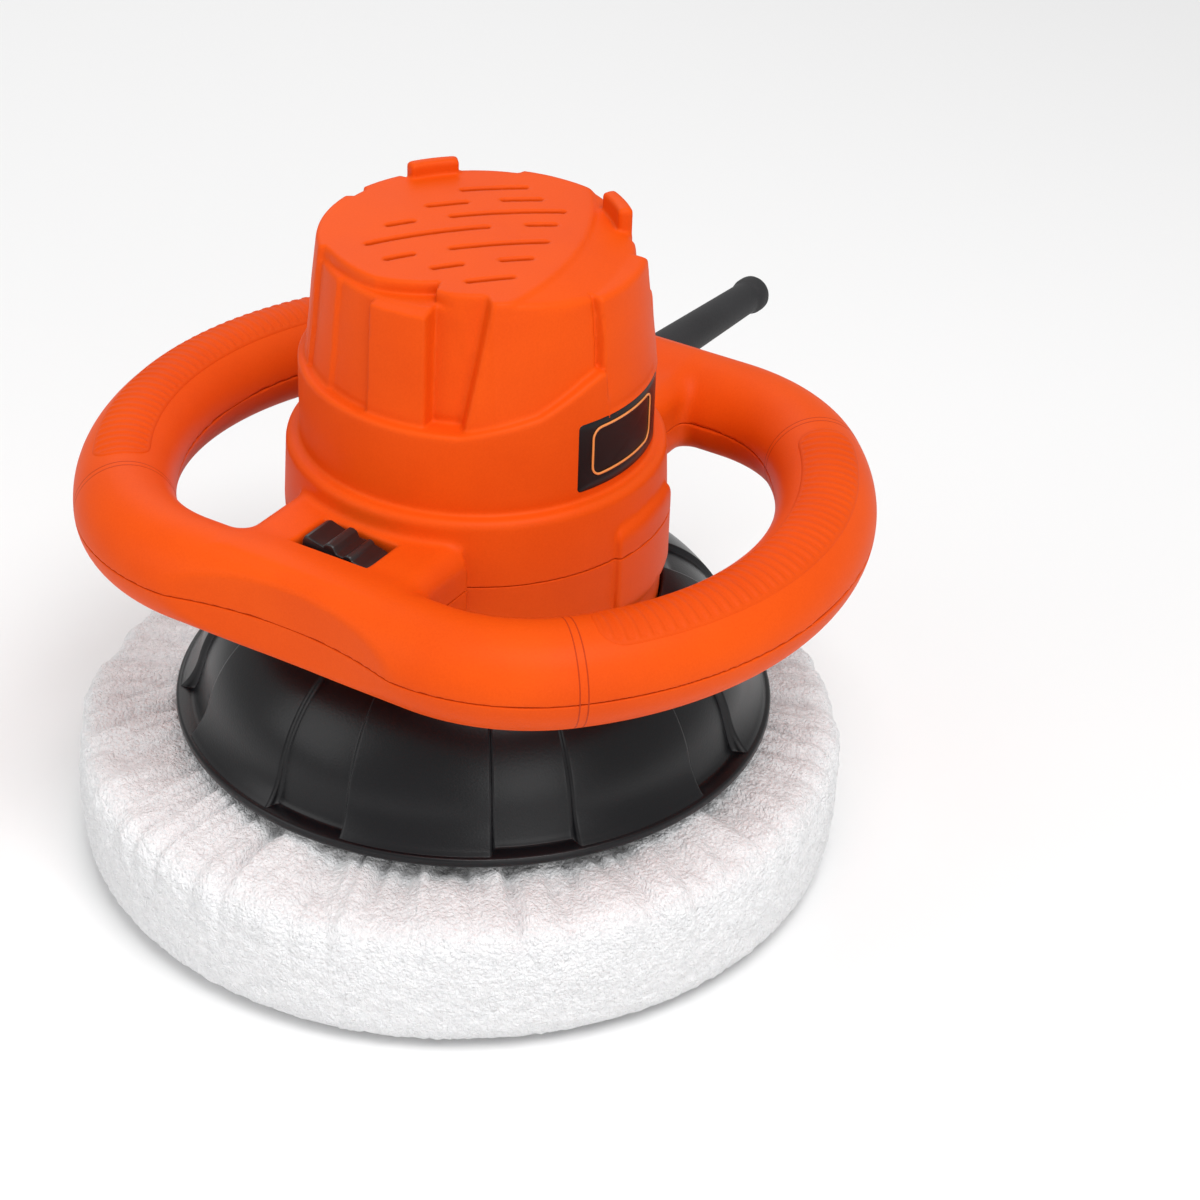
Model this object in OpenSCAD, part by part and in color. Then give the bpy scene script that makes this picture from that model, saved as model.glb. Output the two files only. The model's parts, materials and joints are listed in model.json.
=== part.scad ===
// Two-handed random-orbit car polisher with a full hand ring.
// +Z is up along the motor axis, the origin is on that axis in the plane the bonnet rests on,
// the front (switch) faces -Y and the cord guard leaves towards +Y.

/* [Pad and bonnet] */
// Outer diameter of the fitted bonnet
bonnet_d = 237; // [190:1:290]
// Thickness of the bonnet cloth
bonnet_cloth = 5; // [3:0.5:7]
// Thickness of the foam pad
foam_h = 28; // [20:1:36]
// Thickness of the backing plate
plate_t = 4; // [3:0.5:6]
// Height of the backing plate's centre boss
plate_boss_h = 11; // [9:0.5:16]
// Diameter of the opening in the bonnet's gathered top
hem_d = 150; // [120:1:160]
// Thickness of the elastic cord in the bonnet's hem
elastic_d = 3; // [2:0.5:4]

/* [Eccentric drive] */
// Distance from the motor axis to the pad axis
orbit = 5; // [3:0.5:7]
// Bore of the pad bearing
pad_brg_bore = 12; // [10:1:15]
// Outer diameter of the pad bearing
pad_brg_od = 32; // [28:1:36]
// Width of the pad bearing
pad_brg_w = 10; // [8:1:12]
// Height of the counterweight
weight_h = 8; // [5:0.5:10]
// Outer radius of the counterweight
weight_r = 40; // [32:1:44]
// Angle that the counterweight spans
weight_arc = 120; // [80:5:160]
// Height of the hub boss on the motor shaft
hub_boss_h = 13; // [10:1:18]
// Diameter of the screws that hold the counterweight
weight_screw_d = 5; // [4:0.5:6]

/* [Motor] */
// Diameter of the motor shaft
shaft_d = 10; // [8:0.5:12]
// Outer diameter of the lower motor bearing
low_brg_od = 30; // [26:1:34]
// Width of the lower motor bearing
low_brg_w = 9; // [7:1:11]
// Bore of the upper motor bearing
up_brg_bore = 8; // [6:0.5:9]
// Outer diameter of the upper motor bearing
up_brg_od = 22; // [19:1:26]
// Width of the upper motor bearing
up_brg_w = 7; // [5:1:8]
// Outer diameter of the stator core
stator_d = 75; // [70:1:80]
// Length of the stator and armature stacks
stack_l = 38; // [30:1:40]
// Diameter of the armature
armature_d = 36; // [32:1:38]
// Number of armature slots
armature_slots = 12; // [10:1:14]
// Diameter of the commutator
commutator_d = 24; // [20:1:26]
// Length of the commutator
commutator_l = 12; // [10:1:14]
// Number of commutator bars
commutator_bars = 24; // [16:2:28]
// Diameter of the cooling fan
fan_d = 54; // [44:1:55]
// Height of the fan blades
fan_h = 10; // [7:1:11]
// Number of fan blades
fan_blades = 9; // [7:1:12]
// Width and depth of a carbon brush
brush_w = 6.4; // [5:0.2:7]
// Diameter of the long stator screws
stator_screw_d = 4; // [3:0.5:4.5]

/* [Skirt] */
// Diameter of the skirt's rim
rim_d = 184; // [168:1:200]
// Height of the rim's flange
rim_t = 3; // [2:0.5:4]
// Width of the rim's flange
rim_flange = 6; // [4:0.5:8]
// How far the dome bulges beyond a straight cone
dome_bulge = 8; // [4:0.5:11]

/* [Housing] */
// Wall thickness of the housing mouldings
wall = 2.5; // [2:0.1:3]
// Diameter of the body at the parting seam
body_d = 113.4; // [108:0.2:120]
// Diameter of the body at its lower edge
body_low_d = 111.2; // [107:0.2:118]
// Height of the lower housing below the seam
lower_h = 34.5; // [33:0.5:42]
// Diameter of the collar
collar_d = 103.6; // [98:0.2:108]
// Height of the collar's lower ledge above the seam
shoulder_h = 20.3; // [17:0.1:24]
// Height of the collar's top ledge above the seam
collar_h = 45; // [38:0.1:48]
// Height of the flat top above the seam
top_h = 82.8; // [80:0.1:92]

/* [Cap] */
// Diameter of the cap just above the collar
cap_base_d = 95; // [90:0.5:98]
// Diameter of the cap at its top
cap_top_d = 88; // [84:0.5:90]
// How far the three-cornered plateau stands above the cap
plateau_h = 2; // [1:0.5:3]
// Distance of the plateau's sides from the axis
plateau_side = 30; // [26:0.5:34]
// How far the rear tabs stand above the plateau
tab_h = 4.5; // [2:0.5:6]
// Width of the vent slots
slot_w = 1.8; // [1.2:0.1:2.4]
// Radius of the vent slots' curve
slot_r = 115; // [80:5:200]

/* [Hand ring] */
// Overall width of the hand ring
ring_w = 239; // [215:1:290]
// Overall depth of the hand ring
ring_depth = 200; // [190:1:240]
// Diameter of the ring's tube
tube_d = 30; // [26:0.5:33]
// Radius of the ring's corners, at the tube's centre
corner_r = 50; // [42:1:56]
// Width of the bridges between the ring and the body
bridge_w = 60; // [54:1:66]
// Height of the bridges' deck above the seam
bridge_h = 13.5; // [11:0.5:14]

/* [Switch] */
// Length of the rocker's opening, across the deck
rocker_l = 24; // [20:0.5:28]
// Width of the rocker's opening
rocker_w = 14; // [11:0.5:15]
// Angle that the rocker tips to each side
rocker_tilt = 9; // [6:1:12]

/* [Cord guard] */
// Diameter of the guard at its base
guard_base_d = 13; // [11:0.5:15]
// Diameter of the guard near its lip
guard_tip_d = 10.5; // [9:0.5:12]
// Diameter of the passage for the cord
guard_bore = 7; // [6:0.25:8]
// Length of the guard outside the ring
guard_l = 72; // [50:1:80]

/* [Fasteners] */
// Thread diameter of the housing screws
screw_d = 4; // [3:0.5:4.5]
// Head diameter of the housing screws
screw_head_d = 7.5; // [6:0.5:8]

/* [Fits] */
// Radial clearance of a running fit
run_fit = 0.05; // [0.02:0.01:0.08]
// Gap between pieces that sit in each other
seat_gap = 0.15; // [0.1:0.05:0.25]
// Gap between pieces that move past each other
move_gap = 1; // [0.6:0.1:1.5]

/* [Hidden] */
$fn = 96;
e = 0.01;

// heights, from the resting plane up
foam_z = bonnet_cloth;
plate_z = foam_z + foam_h;
plate_top = plate_z + plate_t;
hem_top = plate_top + 2 * bonnet_cloth;
spindle_z = plate_top + plate_boss_h;
spindle_flange_t = 5;
spindle_step = 2;
pad_brg_z = spindle_z + spindle_flange_t + spindle_step;
clip_t = 1.2;
clip_room = 3.2;
hub_web = 3.5;
hub_pocket_top = pad_brg_z + pad_brg_w + clip_room;
arm_top = hub_pocket_top + hub_web;
weight_z = arm_top;
hub_top = arm_top + hub_boss_h;
floor_gap = 2;
floor_z = hub_top + floor_gap;
floor_t = 3;
floor_top = floor_z + floor_t;
rim_gap = 2;
rim_z = hem_top + rim_gap;
seam_z = floor_z + lower_h;
shoulder_z = seam_z + shoulder_h;
collar_z = seam_z + collar_h;
top_z = seam_z + top_h;
cap_z = top_z - plateau_h;

// pad
bonnet_r = bonnet_d / 2;
bonnet_round = 10;
foam_r = bonnet_r - bonnet_cloth;
plate_r = foam_r - 8;
plate_boss_r = 22;
hem_r = hem_d / 2;

// eccentric hub
spindle_r = pad_brg_bore / 2;
spindle_flange_r = 18;
pad_screw_r = 12.5;
pad_screw_d = 4;
pad_screws = 4;
race_t = 2.6;
hub_r = pad_brg_od / 2 + 5;
boss_r = 12;
shaft_r = shaft_d / 2;
weight_in_r = boss_r + 4;
weight_screw_r = 28;
weight_screw_a = 34;
setscrew_d = 5;
hub_arm_l = 31;
hub_arm_w = 46;

// motor
cup_t = 2.5;
bracket_t = 2.5;
bracket_r = 28;
bracket_screw_r = 23;
low_brg_z = floor_top + bracket_t;
cup_top = low_brg_z + low_brg_w + 1.5;
fan_z = cup_top + 1.5;
fan_disc = 1.5;
fan_top = fan_z + fan_disc + fan_h;
baffle_z = fan_top + move_gap;
baffle_t = 1.2;
coil_h = 4.5;
stator_z = baffle_z + baffle_t + coil_h + 0.5;
stator_top = stator_z + stack_l;
stator_r = stator_d / 2;
yoke_in = stator_r - 8.5;
air_gap = 0.6;
armature_r = armature_d / 2;
pole_in = armature_r + air_gap;
pole_arc = 100;
commutator_r = commutator_d / 2;
frame_z = stator_top + coil_h + 1.2;
frame_t = 2.5;
commutator_z = stator_top + coil_h + 5;
brush_z = commutator_z + commutator_l / 2;
up_brg_z = commutator_z + commutator_l + 3;
shaft_top = up_brg_z + up_brg_w;
holder_w = brush_w + 4;
holder_in = commutator_r + move_gap;
holder_out = stator_r - 4;
stator_screw_r = stator_r - 4.3;
post_r = stator_screw_d / 2 + 2.4;
brush_gap = 0.1;
thread_fit = 0.1;
brush_l = 11;
frame_leg_w = 9;
stator_thread = 20;
post_step = 0.6;
bracket_screw_d = 3;
cap_plug = 2;
capacitor_t = 8;
capacitor_w = 14;
capacitor_h = 12;

// skirt
rim_r = rim_d / 2;
dome_r = rim_r - rim_flange;
dome_z = rim_z + rim_t;
skirt_top = floor_z + 5;
skirt_wall = 2.5;
body_r = body_d / 2;
body_low_r = body_low_d / 2;
skirt_neck_r = body_low_r + 1.6;
skirt_seat_t = 3;
skirt_seat_in = weight_r + 2.5;
skirt_screw_r = (skirt_seat_in + body_low_r - wall) / 2;
skirt_screws = 4;
skirt_boss_h = 14;

// housing
collar_r = collar_d / 2;
cap_base_r = cap_base_d / 2;
cap_top_r = cap_top_d / 2;
ledge_slope = 5;
cap_ledge = 1.5;

// hand ring: straight bars, corner arcs and side arcs that run into each other
tube_r = tube_d / 2;
corner_turn = 44.4;
bar_y = ring_depth / 2 - tube_r;
corner_cy = bar_y - corner_r;
side_r = corner_r + corner_cy / sin(corner_turn);
side_cx = ring_w / 2 - tube_r - side_r;
corner_cx = side_cx + (side_r - corner_r) * cos(corner_turn);
corner_extra = 0.1;
overlap_a = 1;
deck_round = 8;

// cap details: angles are measured from the front (-Y) towards +X
corner_a = 46;
tab_t = 3.5;
tab_arc = 20;
tabs = [-128, 142];
rib_a = 5;
rib_arc = 20;
panel_t = 2;
panels = [[31, 77], [151, 197], [-89, -43]];
flush_arc = [79, 128];
flush_drop = 12;
ledge_rises = [[50, 67, 5, 0.7], [66, 79.5, 11, 0.5]];
cap_h = cap_z - collar_z;
// each vent slot: distance along the corner direction, start and end across it
vents = [[30, -10, 4], [19, -18, -8], [19, 2, 12], [8, -30, -20], [8, -10, 18], [-3, -33, 4],
         [-3, 14, 23], [-12, -26, -16], [-12, -6, 28], [-21, -12, 2], [-21, 11, 23], [-29, 1, 20]];

// switch
switch_y = -66;
pivot_drop = 4;
rocker_gap = 0.7;
rocker_depth = 6.5;
deck_z = seam_z + bridge_h;
switch_body_h = 12;
pivot_z = deck_z - pivot_drop;
switch_top = deck_z - rocker_depth;
switch_z = switch_top - switch_body_h;
ear_t = 1;
pin_r = 1.1;
deck_low_h = tube_r - 3;

// side label
label_h = 24;
label_arc = 47;
label_t = 0.6;
label_z = seam_z + 35;

// cord guard
guard_droop = 3.5;
guard_flange_d = 19;
guard_flange_t = 3;
guard_root = 8;
guard_relief = 0.8;
lip_d = 12.5;
clamp_y = 66;
clamp_w = 26;
clamp_t = 4;
clamp_depth = 9;
clamp_screw_x = 9;

// housing screws
boss_out_r = screw_d / 2 + 2.2;
side_boss_a = [95, -95];
side_boss_r = body_low_r - 6;
side_boss_h = 12;
side_thread = 10;
side_sink = 15;
ring_thread = 8;
head_seat = tube_r - 5;
swell_arc = 34;
swell_t = 1.4;
swell_h = 13;
ring_boss = [[corner_cx + 6, bar_y - 1], [-corner_cx - 6, bar_y - 1],
             [corner_cx + 6, -bar_y + 1], [-corner_cx - 6, -bar_y + 1]];
screw_head_h = 2.6;

orange = [0.95, 0.33, 0.05];
dark = [0.10, 0.10, 0.11];

// ---- helpers -----------------------------------------------------------------------------

// turns its children so that their +X side faces the angle a, counted from the front
module at_angle(a) {
    rotate([0, 0, a - 90]) children();
}

// a ring between two radii
module tube(r_out, r_in, h) {
    difference() {
        cylinder(r = r_out, h = h);
        translate([0, 0, -1]) cylinder(r = r_in, h = h + 2);
    }
}

// a slice of a ring, from angle a0 to a1 counted from the front
module sector(r_in, r_out, h, a0, a1) {
    at_angle(a0) rotate_extrude(angle = a1 - a0) translate([r_in, 0]) square([r_out - r_in, h]);
}

// copies its children n times round the axis
module round_copies(n, first = 0) {
    for (i = [0:n - 1]) rotate([0, 0, first + i * 360 / n]) children();
}

// half of the hand ring's tube; the corners are a hair thicker and overlap the rest
module ring_half(r, side, past = 0) translate([0, 0, seam_z]) for (a = [0, 180]) rotate([0, 0, a]) {
    translate([side_cx, 0, 0]) rotate([0, 0, -corner_turn]) rotate_extrude(angle = 2 * corner_turn)
        translate([side_r, 0]) half_disc(r, side, past);
    translate([-corner_cx, bar_y, 0]) rotate([90, 0, 90]) linear_extrude(2 * corner_cx)
        half_disc(r, side, past);
    for (sx = [-1, 1]) translate([sx * corner_cx, corner_cy, 0])
        rotate([0, 0, (sx > 0 ? corner_turn : 90) - overlap_a])
        rotate_extrude(angle = 90 - corner_turn + 2 * overlap_a)
        translate([corner_r, 0]) half_disc(r + corner_extra, side, past);
}

// the half of a disc above (side = 1) or below (side = -1) the seam, and a little past it
module half_disc(r, side, past = 0) {
    intersection() {
        rotate(side > 0 ? -90 : 90) circle(r = r);
        translate([-r - 1, side > 0 ? -past : -r - 1]) square([2 * r + 2, r + 1 + past]);
    }
}

// pan-head screw with its head at z = 0 and its thread upwards
module screw(d, head_d, head_h, l) {
    difference() {
        union() {
            translate([0, 0, -head_h]) cylinder(d = head_d, h = head_h);
            cylinder(d = d, h = l);
        }
        translate([0, 0, -head_h - 1]) cylinder(d = head_d / 2, h = 1 + head_h / 2, $fn = 6);
    }
}

module race(r_out, r_in, w, z) {
    translate([0, 0, z]) tube(r_out, r_in, w);
}

module on_pad_axis() {
    translate([-orbit, 0, 0]) children();
}

// ---- housing -----------------------------------------------------------------------------

// outline of the body above the seam, moved in by t
module upper_outline(t) {
    polygon([[0, seam_z - (t > 0 ? 1 : 0)], [body_r - t, seam_z - (t > 0 ? 1 : 0)],
             [body_r - t, shoulder_z - ledge_slope - t / 2], [collar_r - t, shoulder_z - t / 2],
             [collar_r - t, collar_z - t], [cap_base_r - t, collar_z + cap_ledge - t],
             [cap_top_r - t, cap_z - t], [0, cap_z - t]]);
}

// outline of the body below the seam, moved in by t
module lower_outline(t) {
    polygon([[0, t > 0 ? floor_top : floor_z], [body_low_r - t, t > 0 ? floor_top : floor_z],
             [body_r - t, seam_z + (t > 0 ? 1 : 0)], [0, seam_z + (t > 0 ? 1 : 0)]]);
}

// the three-cornered raised face on top of the cap
module plateau() {
    chord = cap_top_r * cos(60);
    far = (pow(cap_top_r, 2) - pow(plateau_side, 2)) / (2 * (plateau_side - chord));
    translate([0, 0, cap_z - 1]) linear_extrude(plateau_h + 1) intersection() {
        circle(r = cap_top_r - 0.5);
        intersection_for (k = [-60, 60, 180]) at_angle(corner_a + k)
            translate([-far, 0]) circle(r = far + plateau_side);
    }
}

module vent_slots() {
    for (v = vents) {
        a0 = asin(v[1] / slot_r);
        a1 = asin(v[2] / slot_r);
        at_angle(corner_a) translate([v[0] + slot_r, 0, cap_z - wall - 1])
            rotate([0, 0, 180 - a1]) rotate_extrude(angle = a1 - a0, $fn = 200)
            translate([slot_r - slot_w / 2, 0]) square([slot_w, wall + plateau_h + 2]);
    }
}

// raised panels, ribs and tabs on the cap's side; each is rooted inside the cap's wall
module cap_relief() {
    panel_h = cap_z - collar_z - 1.5;
    for (p = panels) cap_band(p[0], p[1], 1.3, cap_base_r + panel_t, cap_top_r + 0.2, panel_h);
    cap_band(flush_arc[0], flush_arc[1], 1.1, collar_r, collar_r - 1.5, cap_h - flush_drop);
    cap_band(rib_a - rib_arc / 2, rib_a + rib_arc / 2, 0.9, cap_base_r + 1.4, cap_top_r + 1.2,
             cap_h - 3);
    for (l = ledge_rises) cap_band(l[0], l[1], l[3], collar_r, collar_r - 0.3, l[2]);
    for (a = tabs) {
        translate([0, 0, cap_z - 1])
            sector(cap_top_r - tab_t, cap_top_r - 0.1, 1 + plateau_h + tab_h,
                   a - tab_arc / 2, a + tab_arc / 2);
    }
}

// one band on the cap from angle a0 to a1, rooted t inside the cap's surface
module cap_band(a0, a1, t, r_low, r_high, h) {
    root_r = cap_base_r - t - (cap_base_r - cap_top_r) * h / cap_h;
    at_angle(a0) rotate_extrude(angle = a1 - a0)
        polygon([[cap_base_r - t, collar_z - 0.6], [r_low, collar_z - 0.6],
                 [r_high, collar_z + h], [root_r, collar_z + h + cap_ledge]]);
}

// section of a bridge deck, x across and z up, moved in by t
module deck_section(t, side) {
    w = bridge_w / 2 - t;
    h = side > 0 ? bridge_h - t : deck_low_h - t;
    r = deck_round - t;
    past = t > 0 ? 1 : 0;
    mirror([0, side > 0 ? 0 : 1]) intersection() {
        union() {
            translate([-w, -past]) square([2 * w, h - r + past]);
            translate([-w + r, 0]) square([2 * (w - r), h]);
            for (s = [-1, 1]) translate([s * (w - r), h - r]) circle(r = r);
        }
        translate([-w, -past]) square([2 * w, h + past]);
    }
}

// both bridges, from inside the body to inside the ring
module bridges(t, side) {
    near = body_low_r * cos(asin(bridge_w / 2 / body_low_r)) - 4;
    for (my = [0, 1]) mirror([0, my, 0]) translate([0, -near + (t > 0 ? 4 : 0), seam_z])
        rotate([90, 0, 0]) linear_extrude(bar_y - near + (t > 0 ? 4 : 0)) deck_section(t, side);
}

// screw bosses that meet at the seam; side picks the half they belong to
module screw_bosses(side) {
    depth = tube_r - wall / 2;
    for (p = ring_boss) translate([p[0], p[1], side > 0 ? seam_z : seam_z - depth])
        cylinder(r = boss_out_r, h = depth);
    for (a = side_boss_a) at_angle(a)
        translate([side_boss_r, 0, side > 0 ? seam_z + seat_gap : floor_z + e])
        cylinder(r = boss_out_r + 1.3, h = side > 0 ? side_boss_h : lower_h - seat_gap - e);
}

// swelling on the outside of the body where the side bosses stand
module side_swells(side) {
    slope = 5;
    for (a = side_boss_a) at_angle(a - swell_arc / 2) rotate_extrude(angle = swell_arc)
        if (side > 0) polygon([[body_r - wall, seam_z], [body_r + swell_t, seam_z],
                               [body_r + swell_t, seam_z + swell_h - slope],
                               [body_r - wall, seam_z + swell_h]]);
        else polygon([[body_low_r - wall, skirt_top + 1], [body_low_r + swell_t, skirt_top + 1],
                      [body_r + swell_t, seam_z], [body_low_r - wall, seam_z]]);
}

// holes for the housing screws
module screw_holes(side) {
    for (p = ring_boss) translate([p[0], p[1], seam_z]) {
        if (side > 0) translate([0, 0, -1]) cylinder(d = screw_d + thread_fit, h = 1 + ring_thread);
        if (side < 0) {
            translate([0, 0, -tube_r - 1]) cylinder(d = screw_d + 0.4, h = tube_r + 2);
            translate([0, 0, -tube_r - 1])
                cylinder(d = screw_head_d + 0.6, h = tube_r + 1 - head_seat);
        }
    }
    for (a = side_boss_a) at_angle(a) translate([side_boss_r, 0, 0]) {
        if (side > 0) translate([0, 0, seam_z - 1])
            cylinder(d = screw_d + thread_fit, h = 1 + side_thread);
        if (side < 0) {
            translate([0, 0, floor_z - 1]) cylinder(d = screw_d + 0.4, h = lower_h + 2);
            translate([0, 0, floor_z - 1]) cylinder(d = screw_head_d + 0.6, h = 1 + side_sink);
        }
    }
}

// a block centred on the switch, from z0 to z1, larger than the opening by t all round
module switch_block(t, z0, z1) {
    translate([-rocker_l / 2 - t, switch_y - rocker_w / 2 - t, z0])
        cube([rocker_l + 2 * t, rocker_w + 2 * t, z1 - z0]);
}

// seat for the cord guard's flange and the hole it leaves through
module guard_seat() {
    on_guard() {
        cylinder(d = guard_base_d + 2 * seat_gap, h = 2 * guard_root);
        translate([0, 0, -guard_flange_t - seat_gap])
            cylinder(d = guard_flange_d + 2 * seat_gap, h = guard_flange_t + 2 * seat_gap);
        translate([0, 0, -guard_root - guard_flange_t])
            cylinder(d = guard_bore + 2, h = guard_root + guard_flange_t);
    }
}

// moves its children to the guard's flange, with +Z along the guard
module on_guard() {
    translate([0, ring_depth / 2 - guard_root, seam_z]) rotate([-90 - guard_droop, 0, 0]) children();
}

module guard_block(side) {
    half = guard_flange_d / 2 + 3;
    intersection() {
        translate([-half, bar_y + 1, seam_z - (side > 0 ? 0 : half)])
            cube([2 * half, ring_depth / 2 - bar_y - 8, half]);
        translate([-half - 1, bar_y, seam_z]) rotate([90, 0, 90])
            linear_extrude(2 * half + 2) half_disc(tube_r - wall / 2, side);
    }
}

module upper_housing() color(orange) difference() {
    union() {
        difference() {
            union() {
                rotate_extrude() upper_outline(0);
                ring_half(tube_r, 1);
                bridges(0, 1);
            }
            rotate_extrude() upper_outline(wall);
            ring_half(tube_r - wall, 1, 1);
            bridges(wall, 1);
        }
        plateau();
        cap_relief();
        screw_bosses(1);
        side_swells(1);
        guard_block(1);
        switch_block(wall, seam_z + 3, deck_z - e);
    }
    vent_slots();
    screw_holes(1);
    switch_block(0, seam_z - 1, deck_z + tube_r);
    guard_seat();
}

module lower_housing() color(orange) difference() {
    union() {
        difference() {
            union() {
                rotate_extrude() lower_outline(0);
                ring_half(tube_r, -1);
                bridges(0, -1);
            }
            rotate_extrude() lower_outline(wall);
            ring_half(tube_r - wall, -1, 1);
            bridges(wall, -1);
        }
        screw_bosses(-1);
        side_swells(-1);
        guard_block(-1);
        stator_posts();
        round_copies(skirt_screws, 45) translate([skirt_screw_r, 0, floor_z])
            cylinder(r = boss_out_r, h = skirt_boss_h);
        for (s = [-1, 1]) translate([s * clamp_screw_x, clamp_y, seam_z - deck_low_h + e])
            cylinder(r = boss_out_r, h = deck_low_h - clamp_t / 2 - e);
        switch_rests();
    }
    translate([0, 0, floor_z - 1]) cylinder(r = boss_r + 3, h = floor_t + 2);
    round_copies(3, 30) translate([bracket_screw_r, 0, floor_z - 1])
        cylinder(d = bracket_screw_d + thread_fit, h = floor_t + 2);
    round_copies(skirt_screws, 45) translate([skirt_screw_r, 0, floor_z - 1])
        cylinder(d = screw_d + thread_fit, h = skirt_boss_h - 1);
    round_copies(2, 45) translate([stator_screw_r, 0, stator_z - stator_thread - 1])
        cylinder(d = stator_screw_d + thread_fit, h = stator_thread + 2);
    for (s = [-1, 1]) translate([s * clamp_screw_x, clamp_y, seam_z - deck_low_h + wall])
        cylinder(d = screw_d + thread_fit, h = deck_low_h);
    screw_holes(-1);
    guard_seat();
}

// stepped posts: the baffle sits on the step and the stator on the top
module stator_posts() {
    round_copies(4, 45) translate([stator_screw_r, 0, floor_top - e]) {
        cylinder(r = post_r + post_step, h = baffle_z - floor_top + e);
        cylinder(r = post_r, h = stator_z - floor_top + e);
    }
}

// two ribs that hold the switch up against its well
module switch_rests() {
    for (s = [-1, 1]) translate([s * rocker_l / 3 - 1.5, switch_y - rocker_w / 2,
                                 seam_z - deck_low_h + e])
        cube([3, rocker_w, switch_z - seam_z + deck_low_h - e]);
}

// ---- skirt -------------------------------------------------------------------------------

// centre and radius of an arc through two points with a given rise over its chord
function chord_len(p, q) = norm(q - p);
function arc_r(p, q, rise) = (pow(chord_len(p, q) / 2, 2) + rise * rise) / (2 * rise);
function arc_c(p, q, rise) = let (m = (p + q) / 2, d = (q - p) / chord_len(p, q))
    m + [d[1], -d[0]] * (arc_r(p, q, rise) - rise);

// section of the dome, moved in by t: a lens-shaped slice that bulges outwards
module dome_section(t) {
    low = [dome_r, dome_z];
    high = [skirt_neck_r, skirt_top];
    c = arc_c(high, low, dome_bulge);
    intersection() {
        translate(c) circle(r = arc_r(high, low, dome_bulge) - t);
        translate([0, t > 0 ? rim_z - 1 : rim_z]) square([rim_r, skirt_top - rim_z + (t > 0 ? 2 : 0)]);
    }
}

module skirt() color(dark) {
    difference() {
        rotate_extrude() union() {
            difference() {
                union() {
                    dome_section(0);
                    translate([0, rim_z]) square([dome_r, rim_t]);
                    translate([0, rim_z]) square([rim_r, rim_t]);
                }
                dome_section(skirt_wall);
                translate([0, floor_z]) square([body_low_r + seat_gap, lower_h]);
                square([skirt_seat_in, 2 * floor_z]);
            }
            intersection() {
                dome_section(skirt_wall / 2);
                translate([skirt_seat_in, floor_z - skirt_seat_t]) square([dome_r, skirt_seat_t]);
            }
        }
        round_copies(skirt_screws, 45) translate([skirt_screw_r, 0, floor_z - skirt_seat_t - 1])
            cylinder(d = screw_d + 0.4, h = skirt_seat_t + 2);
    }
}

module skirt_screws() color("silver") round_copies(skirt_screws, 45)
    translate([skirt_screw_r, 0, floor_z - skirt_seat_t])
    screw(screw_d, screw_head_d, screw_head_h, skirt_seat_t + skirt_boss_h - 4);

module housing_screws() color("silver") {
    for (p = ring_boss) translate([p[0], p[1], seam_z - head_seat])
        screw(screw_d, screw_head_d, screw_head_h, head_seat + ring_thread - 1);
    for (a = side_boss_a) at_angle(a) translate([side_boss_r, 0, floor_z + side_sink])
        screw(screw_d, screw_head_d, screw_head_h, lower_h - side_sink + side_thread - 1);
}

module side_label() color("black") translate([0, 0, label_z - label_h / 2])
    sector(collar_r, collar_r + label_t, label_h, 90 - label_arc / 2, 90 + label_arc / 2);

// ---- switch ------------------------------------------------------------------------------

module switch_body() color(dark) difference() {
    union() {
        switch_block(-seat_gap, switch_z, switch_top);
        for (s = [-1, 1]) translate([-3, switch_y + s * (rocker_w / 2 - seat_gap - ear_t / 2)
                                     - ear_t / 2, switch_top - e])
            cube([6, ear_t, pivot_z - switch_top + 2.2]);
    }
    translate([0, switch_y - rocker_w, pivot_z]) rotate([-90, 0, 0])
        cylinder(r = pin_r, h = 2 * rocker_w);
}

// section of the rocker about its pivot, with a grip ridge on each side of the middle
module rocker_section() {
    half = rocker_l / 2 - rocker_gap;
    polygon([[-half, 0], [-half, 2.4], [-half + 1.6, 4.2], [-4, 3.6], [-3.2, 5.2], [-0.8, 5.2],
             [0.2, 3.4], [2.8, 3.4], [3.6, 4.6], [5.2, 4.6], [6, 3.4], [half - 1.6, 3.6],
             [half, 2], [half, 0], [2.4, -1.9], [-2.4, -1.9]]);
}

module switch_rocker() color(dark) {
    w = rocker_w - 2 * (seat_gap + ear_t + 0.35);
    difference() {
        translate([0, switch_y + w / 2, pivot_z]) rotate([0, rocker_tilt, 0]) rotate([90, 0, 0])
            linear_extrude(w) rocker_section();
        translate([0, switch_y - rocker_w, pivot_z]) rotate([-90, 0, 0])
            cylinder(r = pin_r + run_fit, h = 2 * rocker_w);
    }
}

module rocker_pin() color("silver")
    translate([0, switch_y - rocker_w / 2 + seat_gap, pivot_z]) rotate([-90, 0, 0])
    cylinder(r = pin_r, h = rocker_w - 2 * seat_gap);

// ---- cord entry --------------------------------------------------------------------------

module cord_guard() color(dark) on_guard() rotate_extrude() difference() {
    polygon([[0, -guard_flange_t], [guard_flange_d / 2, -guard_flange_t],
             [guard_flange_d / 2, 0], [guard_base_d / 2, 0],
             [guard_base_d / 2, guard_root], [guard_tip_d / 2, guard_root + guard_l - 5],
             [lip_d / 2, guard_root + guard_l - 2.5], [lip_d / 2, guard_root + guard_l],
             [0, guard_root + guard_l]]);
    translate([0, -guard_flange_t - 1])
        square([guard_bore / 2 + guard_relief, guard_flange_t + guard_root + 1]);
    translate([0, guard_root - e]) square([guard_bore / 2, guard_l + 1 + e]);
}

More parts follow.
